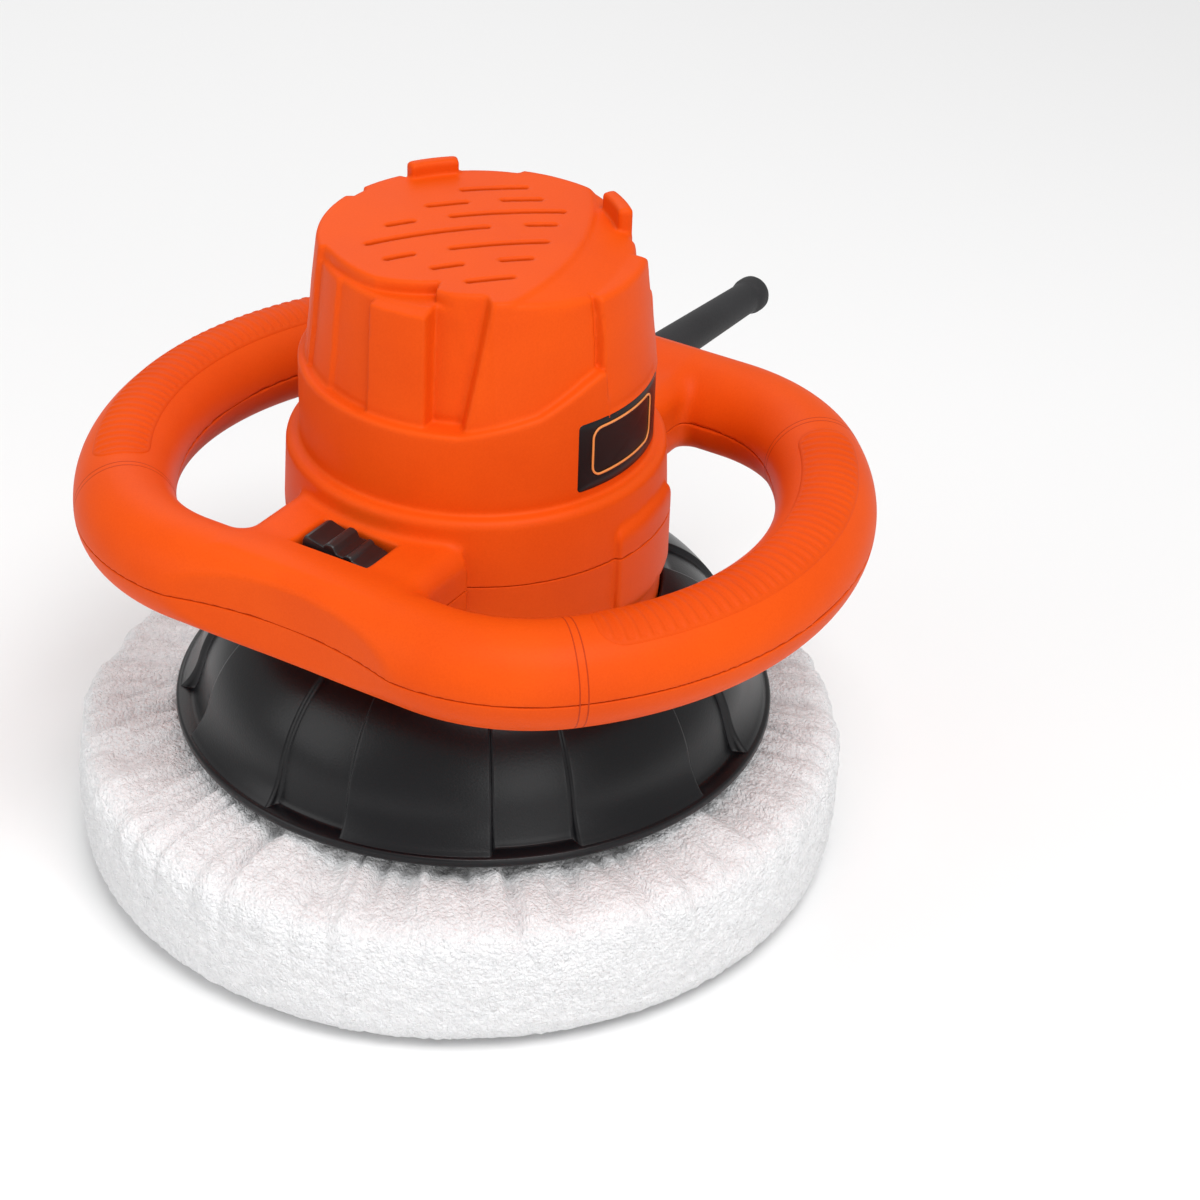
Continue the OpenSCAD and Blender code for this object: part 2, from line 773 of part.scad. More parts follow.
module cord_clamp() color(dark) difference() {
    translate([-clamp_w / 2, clamp_y - clamp_depth / 2, seam_z - clamp_t / 2])
        cube([clamp_w, clamp_depth, clamp_t]);
    translate([0, clamp_y - clamp_depth, seam_z - clamp_t / 2 - 1]) rotate([-90, 0, 0])
        cylinder(d = guard_bore, h = 2 * clamp_depth);
    for (s = [-1, 1]) translate([s * clamp_screw_x, clamp_y, seam_z - clamp_t])
        cylinder(d = screw_d + 0.4, h = 2 * clamp_t);
}

module clamp_screws() color("silver") for (s = [-1, 1])
    translate([s * clamp_screw_x, clamp_y, seam_z + clamp_t / 2]) mirror([0, 0, 1])
    screw(screw_d, screw_head_d, screw_head_h, clamp_t + deck_low_h / 2);

module capacitor() color("gold") at_angle(0)
    translate([stator_r + 3, -capacitor_w / 2, baffle_z + baffle_t])
    cube([capacitor_t, capacitor_w, capacitor_h]);

// ---- motor, fixed pieces -----------------------------------------------------------------

module bearing_bracket() color("silver") translate([0, 0, floor_top]) difference() {
    union() {
        cylinder(r = bracket_r, h = bracket_t);
        cylinder(r = low_brg_od / 2 + cup_t, h = cup_top - floor_top);
    }
    translate([0, 0, bracket_t]) cylinder(r = low_brg_od / 2, h = low_brg_w + 3);
    translate([0, 0, -1]) cylinder(r = shaft_r + race_t + 1.2, h = bracket_t + 2);
    round_copies(3, 30) translate([bracket_screw_r, 0, -1])
        cylinder(d = bracket_screw_d + 0.3, h = bracket_t + 2);
}

module bracket_screws() color("silver") round_copies(3, 30)
    translate([bracket_screw_r, 0, floor_top + bracket_t]) mirror([0, 0, 1])
    screw(bracket_screw_d, 5.5, 2, bracket_t + floor_t - 0.3);

module bearing_outer(bore, od, w, z) {
    race(od / 2, bore / 2 + race_t + run_fit, w, z);
}

module bearing_inner(bore, w, z) {
    race(bore / 2 + race_t, bore / 2, w, z);
}

module lower_bearing_outer() color("gray") bearing_outer(shaft_d, low_brg_od, low_brg_w, low_brg_z);
module upper_bearing_outer() color("gray") bearing_outer(up_brg_bore, up_brg_od, up_brg_w, up_brg_z);
module lower_bearing_inner() color("silver") bearing_inner(shaft_d, low_brg_w, low_brg_z);
module upper_bearing_inner() color("silver") bearing_inner(up_brg_bore, up_brg_w, up_brg_z);

module fan_baffle() color("dimgray") translate([0, 0, baffle_z]) difference() {
    cylinder(r = body_low_r - wall - seat_gap, h = baffle_t);
    translate([0, 0, -1]) cylinder(r = fan_d / 2 - 5, h = baffle_t + 2);
    round_copies(4, 45) translate([stator_screw_r, 0, -1])
        cylinder(r = post_r + seat_gap, h = baffle_t + 2);
    for (a = side_boss_a) at_angle(a) translate([side_boss_r, 0, -1])
        cylinder(r = boss_out_r + 1.3 + seat_gap, h = baffle_t + 2);
}

module stator_core() color("slategray") translate([0, 0, stator_z]) difference() {
    cylinder(r = stator_r, h = stack_l);
    translate([0, 0, -1]) cylinder(r = pole_in, h = stack_l + 2);
    for (a = [90, 270]) translate([0, 0, -1])
        sector(pole_in - 1, yoke_in, stack_l + 2, a - 90 + pole_arc / 2, a + 90 - pole_arc / 2);
    round_copies(4, 45) translate([stator_screw_r, 0, -1])
        cylinder(d = stator_screw_d + 0.4, h = stack_l + 2);
}

// one coil round each pole: two sides in the windows and an arc over each end
module field_coils() color("peru") for (a = [0, 180]) {
    in_window = 90 - pole_arc / 2 - 2;
    for (s = [-1, 1]) translate([0, 0, stator_z - coil_h])
        sector(pole_in + 1.5, yoke_in - 0.5, stack_l + 2 * coil_h,
               a + (s > 0 ? 90 - in_window : -88), a + (s > 0 ? 88 : -90 + in_window));
    for (z = [stator_z - coil_h + 0.3, stator_top + 0.3]) translate([0, 0, z])
        sector(pole_in + 3, yoke_in - 1, coil_h - 0.6, a - 87, a + 87);
}

module stator_screws() color("silver") round_copies(2, 45)
    translate([stator_screw_r, 0, frame_z + frame_t]) mirror([0, 0, 1])
    screw(stator_screw_d, stator_screw_d + 3, 2.4,
          frame_z + frame_t - stator_z + stator_thread - 1);

// plastic frame on top of the stator: carries the brush gear and the upper bearing
module end_frame() color("dimgray") difference() {
    union() {
        translate([0, 0, frame_z]) tube(stator_r - 0.5, commutator_r + 7, frame_t);
        for (k = [0:3]) translate([0, 0, stator_top])
            sector(yoke_in + 1, stator_r - 1.2, frame_z - stator_top + 1, 35 + 90 * k, 55 + 90 * k);
        translate([0, 0, up_brg_z - 1.5]) cylinder(r = up_brg_od / 2 + cup_t, h = up_brg_w + 1.5);
        for (s = [-1, 1]) {
            translate([s > 0 ? up_brg_od / 2 : -stator_r + 5, -frame_leg_w / 2, up_brg_z - 1.5])
                cube([stator_r - 5 - up_brg_od / 2, frame_leg_w, 4]);
            translate([s > 0 ? stator_r - 9 : -stator_r + 5, -frame_leg_w / 2, frame_z])
                cube([4, frame_leg_w, up_brg_z - frame_z + 2.5]);
        }
    }
    translate([0, 0, up_brg_z]) cylinder(r = up_brg_od / 2, h = up_brg_w + 1);
    translate([0, 0, up_brg_z - 3]) cylinder(r = up_brg_bore / 2 + race_t + 1, h = up_brg_w);
    round_copies(2, 45) translate([stator_screw_r, 0, stator_top - 1])
        cylinder(d = stator_screw_d + 0.4, h = frame_z + frame_t - stator_top + 2);
}

// a bar along +Y from radius y0 to y1 at the brushes' height
module brush_bar(w, y0, y1) {
    translate([-w / 2, y0, brush_z - w / 2]) cube([w, y1 - y0, w]);
}

module both_brushes() {
    for (a = [0, 180]) rotate([0, 0, a]) children();
}

module brush_holders() color("goldenrod") both_brushes() difference() {
    union() {
        brush_bar(holder_w, holder_in, holder_out);
        translate([-holder_w / 2, holder_out - 12, frame_z + frame_t])
            cube([holder_w, 12, brush_z - frame_z - frame_t]);
    }
    brush_bar(brush_w + 2 * seat_gap, holder_in - 1, holder_out + 1);
}

module brushes() color("#303030") both_brushes()
    brush_bar(brush_w, commutator_r + brush_gap, commutator_r + brush_gap + brush_l);

// spring of flat turns behind each brush
module brush_springs() color("silver") both_brushes() {
    y0 = commutator_r + brush_gap + brush_l;
    l = holder_out - cap_plug - y0;
    turns = 4;
    pitch = l / turns;
    translate([0, y0, brush_z]) rotate([-90, 0, 0]) {
        for (i = [0:turns - 1]) translate([0, 0, i * pitch]) tube(2.6, 1.8, pitch / 2);
        translate([2.05, -0.15, 0]) cube([0.3, 0.3, l]);
    }
}

module brush_caps() color(dark) both_brushes() union() {
    brush_bar(brush_w, holder_out - cap_plug, holder_out);
    brush_bar(holder_w, holder_out, holder_out + 1.5);
}

// ---- rotor -------------------------------------------------------------------------------

module motor_shaft() color("silver") union() {
    translate([0, 0, arm_top - 1]) cylinder(r = shaft_r, h = commutator_z + commutator_l - arm_top + 2);
    journal_l = shaft_top - commutator_z - commutator_l;
    translate([0, 0, commutator_z + commutator_l]) cylinder(d = up_brg_bore, h = journal_l);
}

module armature_slot_bars(w, r_in, r_out, h) {
    round_copies(armature_slots) translate([r_in, -w / 2, 0]) cube([r_out - r_in, w, h]);
}

module armature_core() color("slategray") translate([0, 0, stator_z]) difference() {
    cylinder(r = armature_r, h = stack_l);
    translate([0, 0, -1]) cylinder(r = shaft_r, h = stack_l + 2);
    translate([0, 0, -1]) armature_slot_bars(3.4, armature_r - 7.5, armature_r - 1, stack_l + 2);
    translate([0, 0, -1]) armature_slot_bars(1.4, armature_r - 3, armature_r + 1, stack_l + 2);
}

module armature_windings() color("sienna") {
    for (z = [stator_z - coil_h + 0.6, stator_top]) translate([0, 0, z])
        tube(armature_r - 1.4, shaft_r + 1.2, coil_h - 0.6);
    translate([0, 0, stator_z - 1])
        armature_slot_bars(3, armature_r - 7.2, armature_r - 1.4, stack_l + 2);
}

module commutator() color("darkgoldenrod") translate([0, 0, commutator_z]) difference() {
    union() {
        cylinder(r = commutator_r, h = commutator_l);
        cylinder(r = commutator_r + 0.3, h = 1.6);
    }
    translate([0, 0, -1]) cylinder(r = shaft_r, h = commutator_l + 2);
    round_copies(commutator_bars) translate([commutator_r - 1.2, -0.3, 1.6])
        cube([3, 0.6, commutator_l]);
}

module fan() color("ivory") translate([0, 0, fan_z]) difference() {
    union() {
        cylinder(d = fan_d, h = fan_disc);
        cylinder(r = shaft_r + 3.5, h = fan_disc + fan_h);
        round_copies(fan_blades) translate([shaft_r + 5, -0.9, fan_disc - e])
            cube([fan_d / 2 - shaft_r - 6, 1.8, fan_h]);
    }
    translate([0, 0, -1]) cylinder(r = shaft_r, h = fan_disc + fan_h + 2);
}

module eccentric_hub() color("lightsteelblue") difference() {
    union() {
        on_pad_axis() translate([0, 0, pad_brg_z]) cylinder(r = hub_r, h = arm_top - pad_brg_z);
        translate([0, -hub_arm_w / 2, arm_top - hub_web]) cube([hub_arm_l, hub_arm_w, hub_web]);
        translate([0, 0, arm_top - 1]) cylinder(r = boss_r, h = hub_boss_h + 1);
    }
    on_pad_axis() translate([0, 0, pad_brg_z - 1]) cylinder(d = pad_brg_od, h = hub_pocket_top - pad_brg_z + 1);
    translate([0, 0, arm_top - 1]) cylinder(r = shaft_r, h = hub_boss_h + 3);
    translate([0, 0, hub_top - hub_boss_h / 2]) rotate([90, 0, 0])
        cylinder(d = setscrew_d, h = boss_r + 2);
    at_weight_screws() translate([0, 0, hub_pocket_top - 1]) cylinder(d = weight_screw_d + thread_fit, h = hub_web + 2);
}

module at_weight_screws() {
    for (s = [-1, 1]) at_angle(90 + s * weight_screw_a) translate([weight_screw_r, 0, 0]) children();
}

module hub_setscrew() color("dimgray") translate([0, 0, hub_top - hub_boss_h / 2])
    rotate([90, 0, 0]) translate([0, 0, shaft_r]) cylinder(d = setscrew_d, h = boss_r - shaft_r - 0.5);

module counterweight() color("gray") difference() {
    translate([0, 0, weight_z])
        sector(weight_in_r, weight_r, weight_h, 90 - weight_arc / 2, 90 + weight_arc / 2);
    at_weight_screws() translate([0, 0, weight_z - 1])
        cylinder(d = weight_screw_d + 0.3, h = weight_h + 2);
}

module counterweight_screws() color("silver") at_weight_screws()
    translate([0, 0, weight_z + weight_h]) mirror([0, 0, 1])
    screw(weight_screw_d, weight_screw_d + 3.5, 2, weight_h + hub_web - 0.5);

module pad_bearing_outer() color("gray") on_pad_axis()
    bearing_outer(pad_brg_bore, pad_brg_od, pad_brg_w, pad_brg_z);

// ---- pad ---------------------------------------------------------------------------------

module pad_bearing_inner() color("silver") on_pad_axis()
    bearing_inner(pad_brg_bore, pad_brg_w, pad_brg_z);

module pad_spindle() color("silver") on_pad_axis() difference() {
    union() {
        translate([0, 0, spindle_z]) cylinder(r = spindle_flange_r, h = spindle_flange_t);
        translate([0, 0, spindle_z]) cylinder(r = spindle_r + race_t - 0.6,
                                              h = spindle_flange_t + spindle_step);
        translate([0, 0, spindle_z])
            cylinder(r = spindle_r, h = spindle_flange_t + spindle_step + pad_brg_w + clip_t + 1);
    }
    translate([0, 0, pad_brg_z + pad_brg_w]) tube(spindle_r + 1, spindle_r - 0.8, clip_t);
    round_copies(pad_screws) translate([pad_screw_r, 0, spindle_z - 1])
        cylinder(d = pad_screw_d, h = spindle_flange_t + 2);
}

module bearing_clip() color("silver") on_pad_axis() translate([0, 0, pad_brg_z + pad_brg_w])
    difference() {
        tube(spindle_r + 2, spindle_r - 0.8, clip_t);
        translate([0, -1.5, -1]) cube([spindle_r + 3, 3, clip_t + 2]);
    }

module pad_screws() color("silver") on_pad_axis() round_copies(pad_screws)
    translate([pad_screw_r, 0, plate_z]) union() {
        cylinder(d = pad_screw_d, h = plate_top - plate_z + plate_boss_h + spindle_flange_t);
        cylinder(d = pad_screw_d + 3.4, h = 2.2);
    }

module backing_plate() color("dimgray") on_pad_axis() difference() {
    union() {
        translate([0, 0, plate_z]) cylinder(r = plate_r, h = plate_t);
        translate([0, 0, plate_z]) cylinder(r = plate_boss_r, h = plate_t + plate_boss_h);
        round_copies(12) translate([plate_boss_r - 1, -1.2, plate_top - e])
            cube([hem_r - plate_boss_r - 5, 2.4, 5]);
    }
    round_copies(pad_screws) translate([pad_screw_r, 0, plate_z - 1]) {
        cylinder(d = pad_screw_d, h = plate_t + plate_boss_h + 2);
        cylinder(d = pad_screw_d + 3.4, h = 1 + 2.2);
    }
}

module foam_pad() color("khaki") on_pad_axis() translate([0, 0, foam_z]) cylinder(r = foam_r, h = foam_h);

module bonnet() color("white") on_pad_axis() rotate_extrude() difference() {
    union() {
        intersection() {
            square([bonnet_r, hem_top - bonnet_cloth]);
            union() {
                translate([0, bonnet_round]) square([bonnet_r, hem_top]);
                square([bonnet_r - bonnet_round, hem_top]);
                translate([bonnet_r - bonnet_round, bonnet_round]) circle(r = bonnet_round);
            }
        }
        translate([hem_r, hem_top - bonnet_cloth - e])
            square([bonnet_cloth + elastic_d / 2, bonnet_cloth + e]);
    }
    translate([0, foam_z]) square([foam_r, foam_h]);
    translate([0, plate_z - e]) square([plate_r + 0.3, plate_t + e]);
    translate([0, foam_z + foam_h - e]) square([hem_r, 2 * hem_top]);
    translate([hem_r + bonnet_cloth / 2 + elastic_d / 4, hem_top - bonnet_cloth / 2])
        circle(d = elastic_d);
}

module bonnet_elastic() color("white") on_pad_axis() rotate_extrude()
    translate([hem_r + bonnet_cloth / 2 + elastic_d / 4, hem_top - bonnet_cloth / 2])
    circle(d = elastic_d);

upper_housing();
lower_housing();
skirt();
skirt_screws();
housing_screws();
side_label();
switch_body();
switch_rocker();
rocker_pin();
cord_guard();
cord_clamp();
clamp_screws();
bearing_bracket();
bracket_screws();
lower_bearing_outer();
lower_bearing_inner();
fan_baffle();
stator_core();
field_coils();
stator_screws();
end_frame();
brush_holders();
brushes();
brush_springs();
brush_caps();
upper_bearing_outer();
upper_bearing_inner();
motor_shaft();
armature_core();
armature_windings();
commutator();
fan();
eccentric_hub();
hub_setscrew();
counterweight();
counterweight_screws();
pad_bearing_outer();
pad_bearing_inner();
bearing_clip();
pad_spindle();
pad_screws();
backing_plate();
foam_pad();
bonnet();
bonnet_elastic();
capacitor();
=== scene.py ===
import bpy, json, math
import numpy as np
from mathutils import Vector, Matrix, noise


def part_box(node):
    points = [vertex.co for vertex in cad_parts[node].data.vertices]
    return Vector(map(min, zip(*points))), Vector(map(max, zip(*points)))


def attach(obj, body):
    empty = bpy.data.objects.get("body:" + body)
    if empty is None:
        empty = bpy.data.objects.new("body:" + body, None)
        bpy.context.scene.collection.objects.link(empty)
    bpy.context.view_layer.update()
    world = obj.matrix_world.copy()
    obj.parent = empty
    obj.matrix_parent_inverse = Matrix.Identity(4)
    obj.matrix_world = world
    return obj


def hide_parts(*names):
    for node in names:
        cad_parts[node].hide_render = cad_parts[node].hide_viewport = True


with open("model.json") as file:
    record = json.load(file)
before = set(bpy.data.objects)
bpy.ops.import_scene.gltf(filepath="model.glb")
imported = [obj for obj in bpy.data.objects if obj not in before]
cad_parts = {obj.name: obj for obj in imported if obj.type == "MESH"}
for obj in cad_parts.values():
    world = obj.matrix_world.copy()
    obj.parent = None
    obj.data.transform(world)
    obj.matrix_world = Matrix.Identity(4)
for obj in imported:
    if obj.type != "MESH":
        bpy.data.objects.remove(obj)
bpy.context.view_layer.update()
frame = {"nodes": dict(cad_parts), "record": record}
scene = bpy.context.scene
MM = 0.001

# ---- camera -------------------------------------------------------------------
tilt, yaw, roll, turn = map(math.radians, (34.13, 2.98, 2.11, 33.42))
dist = 0.883     # metres from the point below
AIM_Z = 0.049    # height of the point that the camera circles
pitch = tilt - math.radians(1.82)
eye = np.array([0, -dist * math.cos(tilt), dist * math.sin(tilt)])
fwd = np.array([math.sin(yaw) * math.cos(pitch), math.cos(yaw) * math.cos(pitch), -math.sin(pitch)])
right = np.array([math.cos(yaw), -math.sin(yaw), 0])
up = np.cross(right, fwd)
r_ax = math.cos(roll) * right + math.sin(roll) * up
u_ax = -math.sin(roll) * right + math.cos(roll) * up
Rz = np.array([[math.cos(turn), -math.sin(turn), 0], [math.sin(turn), math.cos(turn), 0], [0, 0, 1]])
eye, r_ax, u_ax, fwd = Rz @ eye + [0, 0, AIM_Z], Rz @ r_ax, Rz @ u_ax, Rz @ fwd
cam = bpy.data.objects.new("camera", bpy.data.cameras.new("camera"))
cam.matrix_world = Matrix([[r_ax[i], u_ax[i], -fwd[i], eye[i]] for i in range(3)] + [[0, 0, 0, 1]])
cam.data.lens, cam.data.sensor_width = 84.9, 36
scene.collection.objects.link(cam)
scene.camera = cam

# ---- materials ------------------------------------------------------------------
def material(name, dark, light, rough, patch=30, grain=2600, bump=0.12, depth=0.0002, metal=0.0, spec=0.5,
             sheen=0.0, coat=0.0, stretch=(1, 1, 1), wear=None, cells=None, lines=None):
    m = bpy.data.materials.new(name)
    m.use_nodes = True
    nt = m.node_tree
    N, L = nt.nodes, nt.links
    b = N["Principled BSDF"]
    b.inputs["Metallic"].default_value = metal
    b.inputs["Specular IOR Level"].default_value = spec
    b.inputs["Sheen Weight"].default_value = sheen
    b.inputs["Coat Weight"].default_value = coat
    tc = N.new("ShaderNodeTexCoord")
    mp = N.new("ShaderNodeMapping")
    mp.inputs["Scale"].default_value = stretch
    L.new(tc.outputs["Object"], mp.inputs["Vector"])

    def tex(scale, detail=3.0):
        t = N.new("ShaderNodeTexNoise")
        t.inputs["Scale"].default_value = scale
        t.inputs["Detail"].default_value = detail
        L.new(mp.outputs["Vector"], t.inputs["Vector"])
        return t.outputs["Fac"]

    big, fine = tex(patch), tex(grain, 2.0)
    ramp = N.new("ShaderNodeValToRGB")
    ramp.color_ramp.elements[0].position, ramp.color_ramp.elements[1].position = 0.32, 0.68
    ramp.color_ramp.elements[0].color = (*dark, 1)
    ramp.color_ramp.elements[1].color = (*light, 1)
    mix = N.new("ShaderNodeMath")
    mix.operation = "MULTIPLY_ADD"
    L.new(fine, mix.inputs[0])
    mix.inputs[1].default_value = 0.35
    half = N.new("ShaderNodeMath")
    half.operation = "MULTIPLY"
    half.inputs[1].default_value = 0.65
    L.new(big, half.inputs[0])
    L.new(half.outputs[0], mix.inputs[2])
    L.new(mix.outputs[0], ramp.inputs["Fac"])
    colour = ramp.outputs["Color"]
    if wear:
        geo = N.new("ShaderNodeNewGeometry")
        edge = N.new("ShaderNodeMapRange")
        edge.inputs["From Min"].default_value, edge.inputs["From Max"].default_value = wear[0], wear[1]
        L.new(geo.outputs["Pointiness"], edge.inputs["Value"])
        scuff = N.new("ShaderNodeMath")
        scuff.operation = "MULTIPLY"
        L.new(edge.outputs["Result"], scuff.inputs[0])
        L.new(tex(260), scuff.inputs[1])
        mx = N.new("ShaderNodeMix")
        mx.data_type = "RGBA"
        mx.inputs["B"].default_value = (*wear[2], 1)
        L.new(scuff.outputs[0], mx.inputs["Factor"])
        L.new(colour, mx.inputs["A"])
        colour = mx.outputs["Result"]
    L.new(colour, b.inputs["Base Color"])
    rr = N.new("ShaderNodeMapRange")
    rr.inputs["To Min"].default_value, rr.inputs["To Max"].default_value = rough
    L.new(big, rr.inputs["Value"])
    L.new(rr.outputs["Result"], b.inputs["Roughness"])
    height = fine
    if cells:
        vor = N.new("ShaderNodeTexVoronoi")
        vor.inputs["Scale"].default_value = cells
        L.new(mp.outputs["Vector"], vor.inputs["Vector"])
        add = N.new("ShaderNodeMath")
        add.operation = "SUBTRACT"
        L.new(fine, add.inputs[0])
        L.new(vor.outputs["Distance"], add.inputs[1])
        height = add.outputs[0]
    if lines:
        wav = N.new("ShaderNodeTexWave")
        wav.inputs["Scale"].default_value = lines
        wav.bands_direction = "Z"
        L.new(mp.outputs["Vector"], wav.inputs["Vector"])
        add = N.new("ShaderNodeMath")
        L.new(height, add.inputs[0])
        L.new(wav.outputs["Fac"], add.inputs[1])
        height = add.outputs[0]
    bp = N.new("ShaderNodeBump")
    bp.inputs["Strength"].default_value = bump
    bp.inputs["Distance"].default_value = depth
    L.new(height, bp.inputs["Height"])
    L.new(bp.outputs["Normal"], b.inputs["Normal"])
    return m

ORANGE = material("orange_shell", (0.68, 0.066, 0.003), (0.75, 0.082, 0.004), (0.42, 0.54), grain=1700,
        bump=0.25, depth=0.00016, spec=0.08)
GRIP = material("orange_grip", (0.64, 0.060, 0.003), (0.71, 0.075, 0.004), (0.48, 0.60), grain=2300,
        bump=0.3, depth=0.0002, spec=0.08)
# painted shade: darker orange for thin strips that stand in for the shade inside the ring's joint grooves
LINE = material("painted_groove_shade", (0.42, 0.035, 0.003), (0.52, 0.045, 0.004), (0.5, 0.6), spec=0.13)
MATS = {
    "orange_plastic": ORANGE,
    "dark_plastic": material("dark_shell", (0.0025, 0.0025, 0.0035), (0.005, 0.005, 0.0065), (0.26, 0.38),
    grain=1500, bump=0.25,
                             depth=0.00015, spec=0.32, wear=(0.53, 0.62, (0.03, 0.03, 0.034))),
    "switch_plastic": material("switch_black", (0.005, 0.005, 0.0055), (0.009, 0.009, 0.01), (0.28, 0.4),
    grain=3000, bump=0.1,
                               wear=(0.52, 0.6, (0.05, 0.05, 0.05))),
    "guard_rubber": material("rubber_black", (0.014, 0.014, 0.015), (0.026, 0.026, 0.028), (0.55, 0.75),
    grain=1800, bump=0.4,
                             depth=0.0002, spec=0.35),
    "label_plate": material("label_black", (0.004, 0.004, 0.0045), (0.007, 0.007, 0.008), (0.3, 0.4),
    grain=3500, bump=0.08, spec=0.25),
    "terry": material("terry_white", (0.84, 0.845, 0.86), (0.95, 0.952, 0.96), (0.9, 1.0), patch=420,
    grain=1900, bump=0.9,
                      depth=0.0009, sheen=0.35, spec=0.15, cells=820),
    "elastic": material("elastic_band", (0.55, 0.54, 0.51), (0.74, 0.73, 0.70), (0.7, 0.85), grain=1500,
    bump=0.6, lines=500),
    "foam": material("foam_grey", (0.045, 0.045, 0.05), (0.085, 0.085, 0.09), (0.85, 0.95), grain=900,
    bump=0.8, depth=0.0006, cells=700),
    "fan_plastic": material("fan_white", (0.55, 0.55, 0.52), (0.68, 0.68, 0.65), (0.4, 0.5)),
    "frame_plastic": material("glass_filled", (0.02, 0.02, 0.022), (0.045, 0.045, 0.05), (0.5, 0.65),
    grain=700, stretch=(1, 1, 4)),
    "backing_plastic": material("backing_black", (0.015, 0.015, 0.017), (0.03, 0.03, 0.032), (0.42, 0.55)),
    "zinc_steel": material("zinc_plate", (0.55, 0.55, 0.57), (0.70, 0.70, 0.73), (0.25, 0.40), metal=1.0,
    patch=300),
    "bearing_steel": material("ground_steel", (0.52, 0.53, 0.55), (0.66, 0.67, 0.69), (0.12, 0.24),
    metal=1.0, stretch=(1, 1, 8)),
    "shaft_steel": material("turned_steel", (0.50, 0.50, 0.52), (0.63, 0.63, 0.65), (0.2, 0.34), metal=1.0,
    stretch=(1, 1, 9)),
    "lamination": material("lamination", (0.10, 0.10, 0.11), (0.22, 0.22, 0.24), (0.4, 0.55), metal=0.8,
    lines=900),
    "winding": material("copper_wire", (0.34, 0.10, 0.03), (0.52, 0.18, 0.06), (0.3, 0.42), metal=0.7,
    lines=700, bump=0.6),
    "commutator_copper": material("copper_bar", (0.62, 0.30, 0.15), (0.75, 0.40, 0.22), (0.25, 0.4),
    metal=1.0, stretch=(1, 1, 7)),
    "brush_holder_brass": material("brass", (0.60, 0.42, 0.14), (0.74, 0.55, 0.22), (0.28, 0.42),
    metal=1.0),
    "carbon": material("carbon", (0.012, 0.012, 0.012), (0.03, 0.03, 0.03), (0.5, 0.65)),
    "cast_bracket": material("cast_alloy", (0.42, 0.43, 0.44), (0.56, 0.57, 0.58), (0.4, 0.6), metal=0.9,
    grain=900, bump=0.3),
    "weight_iron": material("cast_iron", (0.07, 0.07, 0.075), (0.13, 0.13, 0.14), (0.5, 0.7), metal=0.8,
    grain=700, bump=0.5),
    "capacitor_case": material("capacitor", (0.50, 0.34, 0.05), (0.62, 0.44, 0.08), (0.3, 0.4)),
}
slot_of = {s["node"]: s["material_slot"] for s in frame["record"]["subparts"]}
for name, ob in frame["nodes"].items():
    ob.data.materials.clear()
    ob.data.materials.append(MATS[slot_of[name]])

# ---- mesh helpers ---------------------------------------------------------------
def piece(name, verts, faces, mat, body, slot, *nodes, smooth=True):
    me = bpy.data.meshes.new(name)
    me.from_pydata([tuple(v) for v in np.asarray(verts) * MM], [],
            [tuple(int(i) for i in f) for f in faces])
    me.validate()
    me.polygons.foreach_set("use_smooth", [smooth] * len(me.polygons))
    ob = bpy.data.objects.new(name, me)
    scene.collection.objects.link(ob)
    me.materials.append(mat)
    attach(ob, body)
    if nodes:
        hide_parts(*nodes)
    return ob

def torus_grid(P):
    """closed in both directions: P[i, j] -> verts, quads"""
    n, m = P.shape[:2]
    i, j = np.meshgrid(np.arange(n), np.arange(m), indexing="ij")
    i2, j2 = (i + 1) % n, (j + 1) % m
    F = np.stack([i * m + j, i2 * m + j, i2 * m + j2, i * m + j2], -1).reshape(-1, 4)
    return P.reshape(-1, 3), F

def lathe(profile, n, fn=None, centre=(0, 0)):
    """profile: closed loop of (r, z), anticlockwise; fn(theta, k, r, z) may move its points"""
    th = np.arange(n) * 2 * math.pi / n
    pr = np.array(profile, float)
    T, K = np.meshgrid(th, np.arange(len(pr)), indexing="ij")
    R, Z = pr[K, 0], pr[K, 1]
    if fn:
        R, Z = fn(T, K, R, Z)
    P = np.stack([centre[0] + R * np.sin(T), centre[1] - R * np.cos(T), Z], -1)
    return torus_grid(P)

def arc(cx, cz, r, a0, a1, n):
    return [(cx + r * math.sin(math.radians(a)), cz + r * math.cos(math.radians(a)))
            for a in np.linspace(a0, a1, n)]

# ---- housing: signed distance field in millimetres, drawn out as two closed shells ---------
SEAM, RING_Z, RING_R = 121.2, 121.8, 15.0
FRONT_Y = 85.0                       # straight front and rear stretches of the ring's centre line
SIDE_X, SIDE_R, SIDE_ARC = 4.48, 100.02, 44.4    # side arcs: centre, radius, half angle
CORNER_X, CORNER_Y, CORNER_R = 40.22, 35, 50
COLLAR_R = 51.8

def sm(a, b, k):
    h = np.maximum(k - np.abs(a - b), 0) / k
    return np.minimum(a, b) - h * h * k / 4

def sx(a, b, k):
    return -sm(-a, -b, k)

def span(t, a, b, w):
    return np.clip((t - a) / w + 0.5, 0, 1) * np.clip((b - t) / w + 0.5, 0, 1)

def rbox(a, b, r):
    a, b = a + r, b + r
    return np.hypot(np.maximum(a, 0), np.maximum(b, 0)) + np.minimum(np.maximum(a, b), 0) - r

U_DIR, SLOT_R = math.radians(46.2), 115    # direction across the rows, radius of each slot's curve
# vent slots: distance along U_DIR, start and end across it
SLOTS = [(30, -10.5, 3.5), (19, -18, -8.5), (19, 1.6, 11.2), (8.5, -29.6, -20.3), (8.5, -10.5, 18),
         (-3, -33, 4), (-3, 14, 23),
         (-12, -25, -16), (-12, -6, 27.5), (-20.5, -11, 1.6), (-20.5, 11, 23), (-29, 1, 20.7)]

